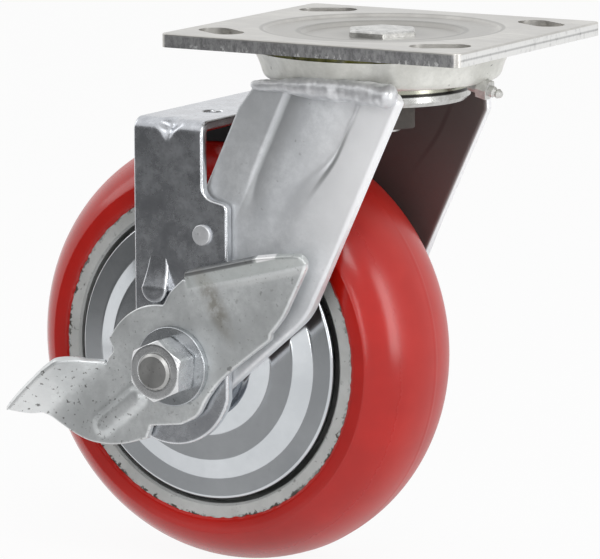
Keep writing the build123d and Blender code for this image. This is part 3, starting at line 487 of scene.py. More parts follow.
def plainMaterial(name, colour, roughness, coat=0.0, noiseScale=200.0, spread=0.08, bump=0.05):
    # a non-metal finish with a slight change of tone and grain
    made, tree, shader = newMaterial(name)
    shader.inputs["Coat Weight"].default_value = coat
    shader.inputs["Coat Roughness"].default_value = 0.05
    place = tree.nodes.new("ShaderNodeTexCoord").outputs["Object"]
    grain = noise(tree, place, noiseScale)
    darker = tuple(c * (1 - spread * 3) for c in colour[:3]) + (1,)
    tone = mixColor(tree, rise(tree, grain, 0.3, 0.7), darker, colour)
    rough = rise(tree, grain, 0.2, 0.8, roughness * 0.85, roughness * 1.15)
    dress(tree, shader, tone, rough, grain, bump, 0.0003)
    return made


# top plate: only its finish

# the darker ring lines, well and dished middle of the top are painted shade; the pale front side is painted
# light
plate = {
    "half": (57.15, 50.8), "sideFade": (0.20, 0.03), "sideTop": (-0.9, -0.4),
    "drawn": ((0.24, 0.24, 0.245, 1), (0.42, 0.42, 0.425, 1)), "torn": (0.80, 0.80, 0.80, 1),
    "tornHeight": (-4.2, -2.4), "tornShare": (0.75, 0.08), "tornRelief": 3.0, "sideRough": 0.5,
    "front": (0.80, 0.80, 0.79, 1), "groove": (0.30, 0.30, 0.30, 1), "grooveHeight": -2.6, "grooveWidth": 0.6,
    "rings": ((41.1, 0.2, 1.1), (28.6, 0.3, 1.4)), "ringShadeTone": (0.16, 0.16, 0.15, 1), "ringShadeShare": 0.55,
    "wellShade": (12, 20, 0.55, 0.0), "dishShade": (36, 41.5, 0.5, 0.0), "dishShadeTone": (0.26, 0.255, 0.24, 1),
    "brushed": (0.42, 0.41, 0.39, 1),
}


def plateFinish(tree, colour, rough, height):
    # top: brushed along X, with painted shade inside the pressed rings, on their lines and in the well;
    # sheared sides: dark, drawn downwards, with torn specks low down; the front one, facing the lamps,
    # painted pale as lit, with a groove
    p = plate
    place, x, y, z = axisValues(tree)
    front, end = [rise(tree, calc(tree, "ABSOLUTE", value), half - p["sideFade"][0], half - p["sideFade"][1])
                  for value, half in zip((x, y), p["half"])]
    side = product(tree, calc(tree, "MAXIMUM", front, end), rise(tree, z, *p["sideTop"], 1.0, 0.0))
    drawn = noise(tree, place, 620.0, 5.0, 0.75, stretch=(1.0, 1.0, 0.45))
    torn = noise(tree, place, 760.0, 4.0, 0.75, stretch=(1.0, 1.0, 0.6))
    low = rise(tree, z, *p["tornHeight"], 1.0, 0.0)
    share = calc(tree, "ADD", product(tree, low, p["tornShare"][0]), p["tornShare"][1])
    sheared = mixColor(tree, rise(tree, drawn, 0.35, 0.65), *p["drawn"])
    sheared = mixColor(tree, product(tree, rise(tree, torn, 0.54, 0.64), share), sheared, p["torn"])
    groove = band(tree, z, p["grooveHeight"], 0.0, p["grooveWidth"], 0.6)
    groove = calc(tree, "ADD", groove, rise(tree, drawn, 0.5, 0.7, 0.0, 0.35))
    # painted light: the front side, which faces the lamps, is painted pale, with a darker groove line
    litFrontTone = mixColor(tree, groove, p["front"], p["groove"])
    litFrontMask = rise(tree, x, p["half"][0] - p["sideFade"][0], p["half"][0] - p["sideFade"][1])
    sheared = mixColor(tree, litFrontMask, sheared, litFrontTone)
    fromCentre = hypot(tree, x, y)
    # painted shade: darker bands on the pressed ring lines and in the well round the bolt head
    rings = calc(tree, "MAXIMUM", *[band(tree, fromCentre, *ring) for ring in p["rings"]])
    rings = calc(tree, "MAXIMUM", rings, rise(tree, fromCentre, *p["wellShade"]))
    # painted shade: a darker, warmer dish inside the pressed ring
    top = mixColor(tree, rise(tree, fromCentre, *p["dishShade"]), colour, p["dishShadeTone"])
    top = mixColor(tree, product(tree, rings, p["ringShadeShare"]), top, p["ringShadeTone"])
    brushed = noise(tree, place, 300.0, 3.0, stretch=(0.08, 1.0, 1.0))
    top = mixColor(tree, rise(tree, brushed, 0.3, 0.7, 0.0, 0.35), top, p["brushed"])
    deep = calc(tree, "ADD", height, product(tree, side, product(tree, torn, p["tornRelief"])))
    return mixColor(tree, side, top, sheared), mixValue(tree, side, rough, p["sideRough"]), deep


# finishes of the races, fasteners and other small pieces

# the near-black line is a painted shadow where the ring goes up into the cup
race = {"line": (-20.6, -20.1), "gapShadow": (0.025, 0.024, 0.022, 1),
        "above": (-19.4, -19.0), "aboveTone": (0.36, 0.36, 0.30, 1)}


def raceFinish(tree, colour, rough, height):
    # a duller, yellowish tone where the ring goes up into the cup, and a painted shadow line under it
    z = axisValues(tree)[3]
    colour = mixColor(tree, rise(tree, z, *race["line"]), colour, race["gapShadow"])
    return mixColor(tree, rise(tree, z, *race["above"]), colour, race["aboveTone"]), rough, height


plateSteel = plated("plateSteel", (0.66, 0.65, 0.62, 1), (0.50, 0.49, 0.47, 1), roughness=(0.30, 0.42),
                    cloud=35.0, specks=0.15, bump=0.12, extra=plateFinish)
cupSteel = plated("cupSteel", (0.84, 0.84, 0.80, 1), (0.60, 0.60, 0.56, 1), metallic=0.6,
                  roughness=(0.34, 0.46), specks=0.8, bump=0.12)
raceSteel = plated("raceSteel", (0.62, 0.62, 0.61, 1), (0.40, 0.40, 0.38, 1), roughness=(0.18, 0.30),
                   cloud=90.0, specks=0.5, bump=0.06, extra=raceFinish)
kingSteel = plated("kingSteel", (0.80, 0.80, 0.78, 1), (0.40, 0.40, 0.39, 1), roughness=(0.26, 0.40),
                   cloud=190.0, specks=0.8, bump=0.14, mottle=0.6)
boltSteel = plated("boltSteel", (0.56, 0.56, 0.55, 1), (0.36, 0.36, 0.355, 1), roughness=(0.34, 0.5),
                   cloud=170.0, specks=0.6, bump=0.16, mottle=0.7)
# near black: grease, with painted shade for the king washer and nut where they sit inside the fork under the
# cup
greaseAndShadeSteel = plated("greaseAndShadeSteel", (0.10, 0.085, 0.075, 1), (0.05, 0.042, 0.036, 1), metallic=0.2,
                      roughness=(0.5, 0.7), cloud=120.0, specks=0.4, bump=0.2)
washerSteel = plated("washerSteel", (0.56, 0.58, 0.60, 1), (0.38, 0.40, 0.42, 1), roughness=(0.20, 0.34),
                     cloud=90.0, specks=0.4, bump=0.06)
bushSteel = plated("bushSteel", (0.48, 0.48, 0.48, 1), (0.36, 0.36, 0.36, 1), roughness=(0.25, 0.4),
                   cloud=90.0)
ballSteel = plated("ballSteel", (0.66, 0.66, 0.67, 1), (0.60, 0.60, 0.61, 1), roughness=(0.06, 0.10),
                   cloud=90.0, specks=0.0, bump=0.0, mottle=0.0)
nippleSteel = plated("nippleSteel", (0.80, 0.80, 0.78, 1), (0.50, 0.50, 0.48, 1), metallic=0.5,
                     roughness=(0.32, 0.45), cloud=200.0, specks=0.5)
pinSteel = plated("pinSteel", (0.80, 0.81, 0.83, 1), (0.60, 0.61, 0.63, 1), metallic=0.55,
                  roughness=(0.30, 0.42), cloud=160.0, specks=0.4, bump=0.10)
padRubber = plainMaterial("padRubber", (0.025, 0.025, 0.026, 1), 0.75)
cagePlastic = plainMaterial("cagePlastic", (0.045, 0.045, 0.05, 1), 0.5)
print("castor: finishes of the small pieces made")


# wheel core: only its finish

rim = {"chipBorder": (55.5, 57.5, -0.15, 1.0), "chipTone": (0.07, 0.06, 0.05, 1), "chipRough": 0.2}


def rimFinish(tree, colour, rough, height):
    # grime and chips towards the outer border of the bare ring
    place, x, y, z = axisValues(tree)
    border = rise(tree, fromAxle(tree, x, z), *rim["chipBorder"])
    blots = noise(tree, place, 420.0, 5.0, 0.72, 0.6)
    chips = rise(tree, calc(tree, "ADD", blots, product(tree, border, 0.16)), 0.58, 0.66)
    chips = product(tree, chips, rise(tree, noise(tree, place, 60.0, 3.0), 0.34, 0.54))
    return (mixColor(tree, chips, colour, rim["chipTone"]),
            calc(tree, "ADD", rough, product(tree, chips, rim["chipRough"]), clamp=True),
            calc(tree, "SUBTRACT", height, chips))


coreMetal = plated("coreMetal", (0.60, 0.61, 0.60, 1), (0.50, 0.51, 0.50, 1), metallic=0.35,
                   roughness=(0.42, 0.55), cloud=70.0, specks=0.5, bump=0.15, extra=rimFinish)


# tread

tread = {
    "radius": 76.2, "rimRadius": 57.4, "halfWidth": 27.4, "edgeHalfWidth": 26.2, "rimFace": 25.4,
    "lipRadius": 57.45, "lipWander": 0.30, "lipWave": 4.0, "seat": 0.12, "mouldLine": 0.125,
    "mouldWidth": 0.45, "steps": 360, "cast": ((0.42, 0.007, 0.003, 1), (0.53, 0.010, 0.005, 1)),
    "rubbed": (0.50, 0.036, 0.026, 1), "rubbedFrom": (71.5, 75.5), "rough": (68, 75.5, 0.15, 0.32),
}


def treadRubber():
    # cast polyurethane: deep red and glossy, duller and paler on the rubbed crown
    made, tree, shader = newMaterial("redPolyurethane")
    shader.inputs["IOR"].default_value = 1.5
    place, x, y, z = axisValues(tree)
    radius = fromAxle(tree, x, z)
    cloud = noise(tree, place, 22.0)
    fine = noise(tree, place, 500.0, 3.0)
    tone = mixColor(tree, rise(tree, cloud, 0.3, 0.7), *tread["cast"])
    uneven = rise(tree, cloud, 0.35, 0.6, 0.175, 0.45)
    rubbed = product(tree, rise(tree, radius, *tread["rubbedFrom"]), uneven)
    tone = mixColor(tree, rubbed, tone, tread["rubbed"])
    rough = calc(tree, "ADD", rise(tree, radius, *tread["rough"]), product(tree, fine, 0.06))
    height = calc(tree, "ADD", cloud, product(tree, fine, 0.15))
    dress(tree, shader, tone, rough, height, 0.06, 0.0005)
    return made


def treadSection():
    # half ellipse over the rim, cut at the edge width, with a narrow lip beside the ring and a fine
    # raised parting line at the middle
    t = tread
    edge = math.acos(t["edgeHalfWidth"] / t["halfWidth"])
    angle = np.linspace(edge, math.pi - edge, 97)
    y = t["halfWidth"] * np.cos(angle)
    r = t["rimRadius"] + (t["radius"] - t["rimRadius"]) * np.sin(angle) - t["seat"]
    r = np.minimum(r + t["mouldLine"] * np.exp(-(y / t["mouldWidth"]) ** 2), t["radius"])
    side, face, lip = t["edgeHalfWidth"], t["rimFace"], t["lipRadius"]
    shoulder = [[y[-1], r[-1]], [-side, r[-1] - 2.2], [0.15 - side, lip + 1.0], [-face - 0.25, lip + 0.35],
                [-face, lip]]
    shoulder = softLine(shoulder, 0.3)[1:]
    inner = np.array([[2.0 - face, t["rimRadius"] + 0.02], [face - 2.0, t["rimRadius"] + 0.02]])
    return np.vstack([np.stack([y, r], -1), shoulder, inner, shoulder[::-1] * [-1, 1]])


def makeTread():
    # the section turned round the axle; soft noise makes the two lips wander
    t = tread
    section = treadSection()
    pts = spin(section, t["steps"])
    turn = turnSteps(t["steps"])[:, None]
    isLip = np.exp(-((section[:, 1] - t["lipRadius"]) / 0.5) ** 2) * (np.abs(section[:, 0]) > 25)
    rimLine = 57
    where = np.broadcast_arrays(np.cos(turn) * rimLine, np.sin(turn) * rimLine, section[None, :, 0])
    wander = softNoise(np.stack(where, -1), t["lipWave"], 11, 4)
    scale = 1 + isLip[None, :] * (wander * t["lipWander"] - t["lipWander"] / 2) / rimLine
    pts[..., 0] = axleX + (pts[..., 0] - axleX) * scale
    pts[..., 2] = axleZ + (pts[..., 2] - axleZ) * scale
    piece = makePiece("treadRing", pts, [gridFaces(t["steps"], len(section))], "wheel", redTread)
    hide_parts("tread")


redTread = treadRubber()
makeTread()
print("castor: tread made")


# weld beads

weld = {"radius": 4.0, "ripple": 0.06, "pitch": 2.6, "wander": 0.30, "wave": 8.0, "round": 3.0, "steps": 40,
        "thin": 0.45, "swells": (8, 26)}
weldSteel = plated("weldSteel", (0.86, 0.87, 0.89, 1), (0.60, 0.61, 0.63, 1), metallic=0.6,
                   roughness=(0.28, 0.42), cloud=120.0, specks=0.5, bump=0.20)


def makeBead(name, corners, seed, replaced):
    # a tube along a bowed line: its radius swells forwards with close ripples, its ends are round
    line = softLine(corners, 0.45)
    s = np.concatenate([[0], np.cumsum(np.linalg.norm(np.diff(line, axis=0), axis=1))])
    ahead = np.gradient(line, axis=0)
    ahead /= np.linalg.norm(ahead, axis=1, keepdims=True)
    side = np.cross(ahead, [0.0, 0.0, 1.0])
    side /= np.linalg.norm(side, axis=1, keepdims=True)
    top = np.cross(side, ahead)
    fromEnd = np.clip(weld["round"] - np.stack([s, s[-1] - s]), 0, weld["round"]) / weld["round"]
    ends = np.sqrt(np.clip(1 - fromEnd ** 2, 0, 1)).prod(0)[:, None, None]
    swell = weld["thin"] + (1 - weld["thin"]) * smoothStep(*weld["swells"], s)
    radius = weld["radius"] * swell + weld["ripple"] * np.abs(np.sin(math.pi * s / weld["pitch"]))
    radius = radius[:, None, None]
    turn = turnSteps(weld["steps"])[None, :, None]
    out = np.cos(turn) * side[:, None] + np.sin(turn) * top[:, None]
    base = line[:, None] + out * radius * ends
    bumps = softNoise(base, weld["wave"], seed, 3)[..., None] * weld["wander"]
    pts = base + (base - line[:, None]) / radius * bumps * ends
    count, around = len(line), weld["steps"]
    total = count * around
    caps = np.array([line[0] - ahead[0] * 0.02, line[-1] + ahead[-1] * 0.02])
    ring = np.arange(around)
    after = (ring + 1) % around
    first = np.stack([np.full(around, total), ring, after], -1)
    last = np.stack([np.full(around, total + 1), total - around + after, total - around + ring], -1)
    blocks = [gridFaces(count, around, False), first, last]
    piece = makePiece(name, np.vstack([pts.reshape(-1, 3), caps]), blocks, "fork", weldSteel)
    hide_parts(replaced)


nearLine = (-29.0, -38.2, -17.0), (-2.0, -39.2, -16.2), (27.2, -38.6, -17.6)
farLine = (-29.0, 38.2, -17.0), (-4.0, 39.2, -16.2), (22.0, 38.6, -17.6)
makeBead("weldBeadNear", nearLine, 5, "weld_near")
makeBead("weldBeadFar", farLine, 8, "weld_far")
print("castor: welds made")


# fork legs

leg = {
    "angle": 25.0, "inner": 33.2, "thickness": 5.8, "top": -16.84, "back": 20.8, "front": 33.6,
    "boss": 17.0, "frontKnee": 19.0, "backKnee": 40.0, "panel": (-5.9, 20.8), "depth": 1.5, "crown": 1.0,
    "backWall": (1.5, 9.0, 52, 80), "frontWall": (1.1, 8.0, 26, 60), "creaseShift": (32, 56, 3.6),
    "runOut": (62, 92), "lip": 0.25, "lipWidth": 0.9, "lipEnd": (40, 70), "swell": -0.50, "swellAt": 4.0,
    "swellWidth": 16.0, "swellEnd": (60, 95), "edge": 1.25, "cornerCut": 5.4, "pinSlot": (9.3, 47.7),
    "pinSlotSize": (5.4, 4.0),
}
legTones = {
    # the pale tone towards the front edge is painted light; the darker back strip, the band beside the back
    # crease, the front crease line and the inner-face tone are painted shade
    "paintedLightAcross": (4, 30), "paintedLightDown": (35, 100, 0.9, 0.15), "paintedLight": (0.98, 0.985, 1.0, 1),
    "backShadeAcross": (-14, 4, 0.34, 0.0), "back": (0.34, 0.35, 0.35, 1),
    "wallShadeStart": (0.4, 1.4), "wallShadeEnd": (1.6, 11.0, 1.0, 0.0), "wallShadeDown": (60, 80, 0.72, 0.0),
    "wallShade": (0.36, 0.37, 0.38, 1), "creaseShadeInset": 0.4, "creaseShadeWidth": (0.2, 1.3), "creaseShadeStart": (16, 30),
    "creaseShadeEnd": (36, 56, 0.8, 0.0), "line": (0.22, 0.225, 0.23, 1),
    "innerShadeDepth": (0.1, 0.8, 0.92, 0.0), "innerShade": (0.12, 0.09, 0.082, 1),
}
legTilt = math.radians(leg["angle"])
legDown = np.array([-math.sin(legTilt), -math.cos(legTilt)])
legAcross = np.array([math.cos(legTilt), -math.sin(legTilt)])


def legFinish(tree, colour, rough, height):
    # plating with painted light and shade: paler to the front edge, painted shade behind; painted shade lies
    # in the two creases of the panel and on the inner faces
    t = legTones
    colour, rough = worn(tree, colour, rough, 0.12)
    x, y, z = axisValues(tree)[1:]
    across = weighted(tree, x, z, *legAcross.tolist())
    down = weighted(tree, x, z, *legDown.tolist())
    low, high = leg["panel"]
    # painted light: paler towards the front edge and up the leg
    paintedLight = product(tree, rise(tree, across, *t["paintedLightAcross"]), rise(tree, down, *t["paintedLightDown"]))
    colour = mixColor(tree, paintedLight, colour, t["paintedLight"])
    # painted shade on the back strip
    colour = mixColor(tree, rise(tree, across, *t["backShadeAcross"]), colour, t["back"])
    # painted shade beside the back crease, where the trough's steep wall stands
    fromCrease = calc(tree, "SUBTRACT", across, low)
    wallShade = product(tree, rise(tree, fromCrease, *t["wallShadeStart"]), rise(tree, fromCrease, *t["wallShadeEnd"]),
                     rise(tree, down, *t["wallShadeDown"]))
    colour = mixColor(tree, wallShade, colour, t["wallShade"])
    start, end, shift = leg["creaseShift"]
    # painted shade: a dark line in the front crease
    crease = calc(tree, "SUBTRACT", high - t["creaseShadeInset"], rise(tree, down, start, end, 0.0, shift))
    line = product(tree, band(tree, across, crease, *t["creaseShadeWidth"]), rise(tree, down, *t["creaseShadeStart"]),
                   rise(tree, down, *t["creaseShadeEnd"]))
    colour = mixColor(tree, line, colour, t["line"])
    # painted shade on the inner faces inside the fork
    inside = calc(tree, "SUBTRACT", calc(tree, "ABSOLUTE", y), leg["inner"])
    return mixColor(tree, rise(tree, inside, *t["innerShadeDepth"]), colour, t["innerShade"]), rough, height


def atLevel(across, z):
    # point at a distance across the leg's slope and at a height
    return across * legAcross + (z - across * legAcross[1]) / legDown[1] * legDown


def bossTouch(knee, side):
    # angle at which the line from a knee touches the boss round the axle
    x, z = knee[0] - axleX, knee[1] - axleZ
    return math.atan2(z, x) + side * math.acos(leg["boss"] / math.hypot(x, z))


def legOutline(far):
    # boss arc, back edge, top edge, front edge; the far one has a bevelled upper corner
    top, back, front = leg["top"], -leg["back"], leg["front"]
    backKnee, frontKnee = atLevel(back, axleZ + leg["backKnee"]), atLevel(front, axleZ + leg["frontKnee"])
    backTop, frontTop = atLevel(back, top - 8), atLevel(front, top - 3)
    turn = np.linspace(bossTouch(backKnee, 1), bossTouch(frontKnee, -1) + 2 * math.pi, 40)
    boss = np.array([axleX, axleZ]) + onCircle(turn, leg["boss"])
    corner = [frontTop, (frontTop[0] - 2.0, top)]
    if far:
        corner = [atLevel(front, top - 2.6 * leg["cornerCut"]), (frontTop[0] - leg["cornerCut"], top)]
    upper = [frontKnee, *corner, (backTop[0] + 6.5, top), backTop, backKnee]
    return roundedLine(np.vstack([boss, upper]), [0] * len(boss) + [22, 2, 2, 3, 6, 30], 0.7)


def legRelief(uv):
    # a trough with a steep wall at its back crease, a floor that climbs forwards and falls again
    # to a thin front crease; both creases soften and run out down the leg
    across, down = uv @ legAcross, uv @ legDown
    low, high = leg["panel"]
    start, end, shift = leg["creaseShift"]
    high = high - shift * smoothStep(start, end, down)
    wide, thin = [least + more * smoothStep(first, last, down)
                  for least, more, first, last in (leg["backWall"], leg["frontWall"])]
    inside = smoothStep(low, low + wide, across) * (1 - smoothStep(high - thin, high, across))
    share = np.clip((across - low) / (high - low), 0, 1)
    crown = leg["crown"] * np.sin(math.pi * share ** 0.8) ** 2
    lip = leg["lip"] * np.exp(-((across - low + leg["lipWidth"]) / leg["lipWidth"]) ** 2)
    lip = lip * (1 - smoothStep(*leg["lipEnd"], down))
    swell = leg["swell"] * ((across - leg["swellAt"]) / leg["swellWidth"]) ** 2
    swell = swell * (1 - smoothStep(*leg["swellEnd"], down))
    return lip + swell - (leg["depth"] - crown) * inside * (1 - smoothStep(*leg["runOut"], down))


def makeLegs():
    # two mirrored sheets with plain inner faces and an upright slot for the guide pin
    hole = slotLine((axleX + leg["pinSlot"][0], axleZ + leg["pinSlot"][1]), *leg["pinSlotSize"])
    outer = leg["inner"] + leg["thickness"]
    for name, side in (("near", -1), ("far", 1)):
        piece = makeSheet("legSheet" + name.capitalize(), [legOutline(side > 0), hole],
                          lambda u, v, h, side=side: np.stack([u, side * (outer + h), v], -1), legRelief,
                          leg["thickness"], "fork", forkSteel, 0.9, edge=leg["edge"],
                          flip=side > 0, flatBack=True)
        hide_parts("fork_leg_" + name)


forkSteel = plated("forkSteel", (0.80, 0.82, 0.845, 1), (0.60, 0.62, 0.645, 1), metallic=0.45,
                   roughness=(0.34, 0.48), cloud=45.0, specks=0.35, bump=0.20, mottle=0.6, extra=legFinish)
makeLegs()
print("castor: legs made")


# brake pedal

pedal = {
    "outer": 46.8, "thickness": 3.1, "edge": 0.8, "bore": 8.89, "camClearance": 0.45, "camTurn": (-6, 58),
    "finger": (-8.6, 25.8), "fingerRadius": 5.15, "liftPerDegree": 0.1,
    "wingFold": (11.9, 28.2), "wingSlope": 14.6, "wingWidth": 6.5, "wingBend": 25.0, "wingStart": -5.8,
    "wingEnd": 41.0, "wingRound": 0.8, "toeFold": (-27.9, -2.6), "toeSlope": 40.2, "toeBend": 40.0,
    "toeRound": 2.4, "heel": 27.5, "rib": ((-15.5, -12.6), (-29.0, -23.6)), "ribRadius": 4.4,
    "ribHeight": 1.8,
}
# fold and patch are painted highlights, flange is painted shade, and the pale toe is painted light
pedalTones = {
    "stainAt": (-38.5, -92.0), "stainLean": 0.45, "stainNarrow": 7.0, "stainReach": (2, 16, 0.62, 0.0),
    "stain": (0.20, 0.165, 0.11, 1), "pitToe": (-85, -60, 0.8, 0.28), "pits": (0.06, 0.055, 0.05, 1),
    "toeLightFade": (-112, -94, 0.6, 0.0), "toe": (0.95, 0.965, 0.965, 1), "flangeShade": (0.36, 0.385, 0.37, 1),
    "foldHighlight": (0.95, 0.97, 0.97, 1), "rim": (4.4, 5.0), "rimTone": (0.10, 0.10, 0.105, 1),
    "rimEnd": (22.5, 24.0, 0.75, 0.0), "patchHighlightStart": (24.0, 24.8), "patchHighlightEnd": (31.5, 32.5, 1.0, 0.0),
    "patchHighlight": (1.0, 1.0, 1.0, 1), "foldHighlightAt": (-1.1, 0.4, 1.8), "foldHighlightAlong": (-2, 22, 0.0, 0.6),
    "flangeShadeUp": (0.2, 1.0), "flangeShadeAlong": (-7, -5.5, 0.0, 0.55),
}


def slopeLine(degrees):
    # unit vector at an angle above +X
    return np.array([math.cos(math.radians(degrees)), math.sin(math.radians(degrees))])


wingAlong = slopeLine(pedal["wingSlope"])
wingUp = np.array([-wingAlong[1], wingAlong[0]])
toeAlong = -slopeLine(pedal["toeSlope"])
toeOut = np.array([toeAlong[1], -toeAlong[0]])


def pedalFinish(tree, colour, rough, height):
    # a brown stain between the hub and the wing, dark pits round the toe's rib, a painted highlight on the
    # fold below the wing's flange, painted shade on the flange, a dark rim with one painted highlight patch
    # on the flange, and a toe painted paler as lit
    p = pedalTones
    colour, rough = worn(tree, colour, rough, 0.14)
    place, x, y, z = axisValues(tree)
    up = calc(tree, "SUBTRACT", z, p["stainAt"][1])
    along = weighted(tree, calc(tree, "SUBTRACT", x, p["stainAt"][0]), up, 1.0, p["stainLean"])
    away = hypot(tree, along, up, p["stainNarrow"])
    blots = noise(tree, place, 260.0, 5.0, 0.7)
    stain = product(tree, rise(tree, away, *p["stainReach"]), rise(tree, blots, 0.34, 0.60, 0.3, 1.0))
    pits = product(tree, rise(tree, noise(tree, place, 620.0, 3.0), 0.62, 0.68), rise(tree, x, *p["pitToe"]))
    fromX = calc(tree, "SUBTRACT", x, axleX + pedal["wingFold"][0])
    fromZ = calc(tree, "SUBTRACT", z, axleZ + pedal["wingFold"][1])
    t = weighted(tree, fromX, fromZ, *wingAlong.tolist())
    w = weighted(tree, fromX, fromZ, *wingUp.tolist())
    # painted highlight along the wing's fold
    foldHighlight = product(tree, band(tree, w, *p["foldHighlightAt"]), rise(tree, t, *p["foldHighlightAlong"]))
    # painted shade on the bent wing flange
    flangeShade = product(tree, rise(tree, w, *p["flangeShadeUp"]), rise(tree, t, *p["flangeShadeAlong"]))
    rimMask = rise(tree, w, *p["rim"])
    # painted highlight: a white patch on the flange's rim
    patchHighlight = product(tree, rise(tree, t, *p["patchHighlightStart"]), rise(tree, t, *p["patchHighlightEnd"]), rimMask)
    darkRim = product(tree, rimMask, rise(tree, t, *p["rimEnd"]))
    # painted light: the bent toe flange is made paler
    toe = rise(tree, x, *p["toeLightFade"])
    masks = {"toe": toe, "flangeShade": flangeShade, "foldHighlight": foldHighlight, "rimTone": darkRim, "patchHighlight": patchHighlight, "stain": stain,
             "pits": pits}
    for key, mask in masks.items():
        colour = mixColor(tree, mask, colour, p[key])
    return colour, rough, height


def onWing(t, w):
    # point a distance along the wing's fold and beside it
    return np.array(pedal["wingFold"]) + t * wingAlong + w * wingUp


def onToe(t, w):
    # the same at the toe's fold
    return np.array(pedal["toeFold"]) + t * toeAlong + w * toeOut


def camLine(count):
    # points of the cam edge: under the finger at each turn of the pedal, with the running gap
    turn = np.linspace(*pedal["camTurn"], count)
    fx, fz = pedal["finger"]
    z = fz + turn * pedal["liftPerDegree"]
    radius = np.hypot(fx, z) - pedal["fingerRadius"] - pedal["camClearance"]
    return radius[:, None] * onCircle(np.arctan2(z, fx) + np.radians(turn))


def pedalOutline():
    # cam edge, heel notch, toe, underside, front sweep and wing, seen along the axle
    wide = pedal["wingWidth"] * math.cos(math.radians(pedal["wingBend"]))
    lean = math.cos(math.radians(pedal["toeBend"]))
    heel = [pedal["heel"] * share * slopeLine(angle)
            for angle, share in ((166, 1.0), (173, 0.916), (179.5, 0.967))]
    toe = [onToe(-0.5, 1.0), onToe(9, 12.2 * lean), onToe(15, 14.2 * lean), onToe(27, 13.9 * lean),
           onToe(38.4, 12.6 * lean), onToe(39, 11.4 * lean), onToe(35.6, 5.4 * lean), onToe(32, 1.5)]
    under = [(-39.6, -28.9), (-30.5, -30.6), (-21.4, -29.8), (-11.6, -26.8)]
    front = [(2.3, -20.5), (8.8, -16.8), (13.4, -9.6), (20.5, -1.6), (37.9, 12.2)]
    nose = [(38.3, 14.4), (42.9, 20.2), (46.2, 26.4), onWing(pedal["wingEnd"], -0.8), onWing(41.7, 1.4)]
    tip = [onWing(41.2, 3.0), onWing(39.6, 3.9), onWing(35, wide - 1.1), onWing(25, wide)]
    top = [onWing(12, wide), onWing(-4.6, wide), onWing(-5.8, wide - 1.2), onWing(-6.2, 3.4)]
    camStart = [(3.3, 30.0), (0.6, 27.6), (-2.2, 24.6), (-3.8, 21.8)]
    curves = [np.vstack([camLine(17), heel, [pedal["toeFold"]]]), toe, np.vstack([[toe[-1]], under]),
              [(-9.9, -22.2)], front, np.vstack([nose, tip]), top, camStart]
    straight = (3, 6)
    return evenLine(np.concatenate([curve if k in straight else softLine(curve, 0.8)
                                    for k, curve in enumerate(curves)]), 0.8)


def softRamp(w, radius):
    # 0 below the fold and rising at one to one above it, with a rounded start
    return np.where(w < -radius, 0, np.where(w > radius, w, (w + radius) ** 2 / (4 * radius)))


def pedalRelief(uv):
    # both flanges lean out beyond their fold lines, and a rib runs from the hub to the toe
    rel = uv - pedal["wingFold"]
    wing = math.tan(math.radians(pedal["wingBend"])) * softRamp(rel @ wingUp, pedal["wingRound"])
    wing = wing * smoothStep(pedal["wingStart"] - 1.2, pedal["wingStart"] + 0.4, rel @ wingAlong)
    rel = uv - pedal["toeFold"]
    toe = math.tan(math.radians(pedal["toeBend"])) * softRamp(rel @ toeOut, pedal["toeRound"])
    toe = toe * smoothStep(-6, 5, rel @ toeAlong)
    a, b = np.array(pedal["rib"])
    along = np.clip((uv - a) @ (b - a) / ((b - a) @ (b - a)), 0, 1)
    away = np.linalg.norm(uv - a - along[:, None] * (b - a), axis=1)
    rib = pedal["ribHeight"] * (1 - smoothStep(1.2, pedal["ribRadius"] + 0.8, away))
    return wing + toe + rib


def makePedal():
    # the outline with its round bore, flanges and rib, standing outside the strap
    bore = onCircle(turnSteps(48), pedal["bore"])
    piece = makeSheet("pedalSheet", [pedalOutline(), bore], nearFace(pedal["outer"]), pedalRelief,
                      pedal["thickness"], "pedal", pedalSteel, 1.0, edge=pedal["edge"])
    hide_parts("brake_pedal")


pedalSteel = plated("pedalSteel", (0.76, 0.785, 0.79, 1), (0.54, 0.56, 0.565, 1), metallic=0.6,
                    roughness=(0.28, 0.42), cloud=50.0, specks=0.6, bump=0.12, mottle=0.5, extra=pedalFinish)
makePedal()
print("castor: pedal made")


# brake strap

strap = {
    "outer": 42.9, "thickness": 3.7, "bend": 4.6, "top": -30.4, "back": -18.3, "front": 9.3, "foot": 18.9,
    "stepHeight": 58.2, "stepFall": 2.0, "endRadius": 23.7, "endShift": 4.0, "endDrop": 5.0, "edge": 0.9,
    "hole": (-2.1, 17.3), "holeRadius": 3.85, "dart": (5.6, 8.0, 3.0), "slot": (-2.4, 5.4, 9.09),
    "fingerHeight": 3.4, "fingerLength": 12.0, "fingerNarrow": 1.6, "fingerSunk": 1.2,
}
strapFlat = strap["outer"] - strap["bend"]
strapTurned = strapFlat + strap["bend"] * math.pi / 2  # along the outer skin, where the fold ends
strapMid = (strap["back"] + strap["front"]) / 2


def strapFinish(tree, colour, rough, height):
    # bright cut edges
    return *worn(tree, colour, rough, 0.45), height


def onStrap(u, v, h):
    # u from the axle along X, v along the outer skin from the middle of the bridge, h outwards
    side, far = np.sign(v), np.abs(v)
    turn = np.clip((far - strapFlat) / strap["bend"], 0, math.pi / 2)
    y = np.minimum(far, strapFlat) + (strap["bend"] + h) * np.sin(turn)
    z = strap["top"] - strap["bend"] + (strap["bend"] + h) * np.cos(turn) - np.maximum(0, far - strapTurned)
    return np.stack([axleX + u, side * y, z], -1)


def strapAlong(height):
    # distance along the skin of a point at a height above the axle
    return strapTurned + strap["top"] - strap["bend"] - axleZ - height


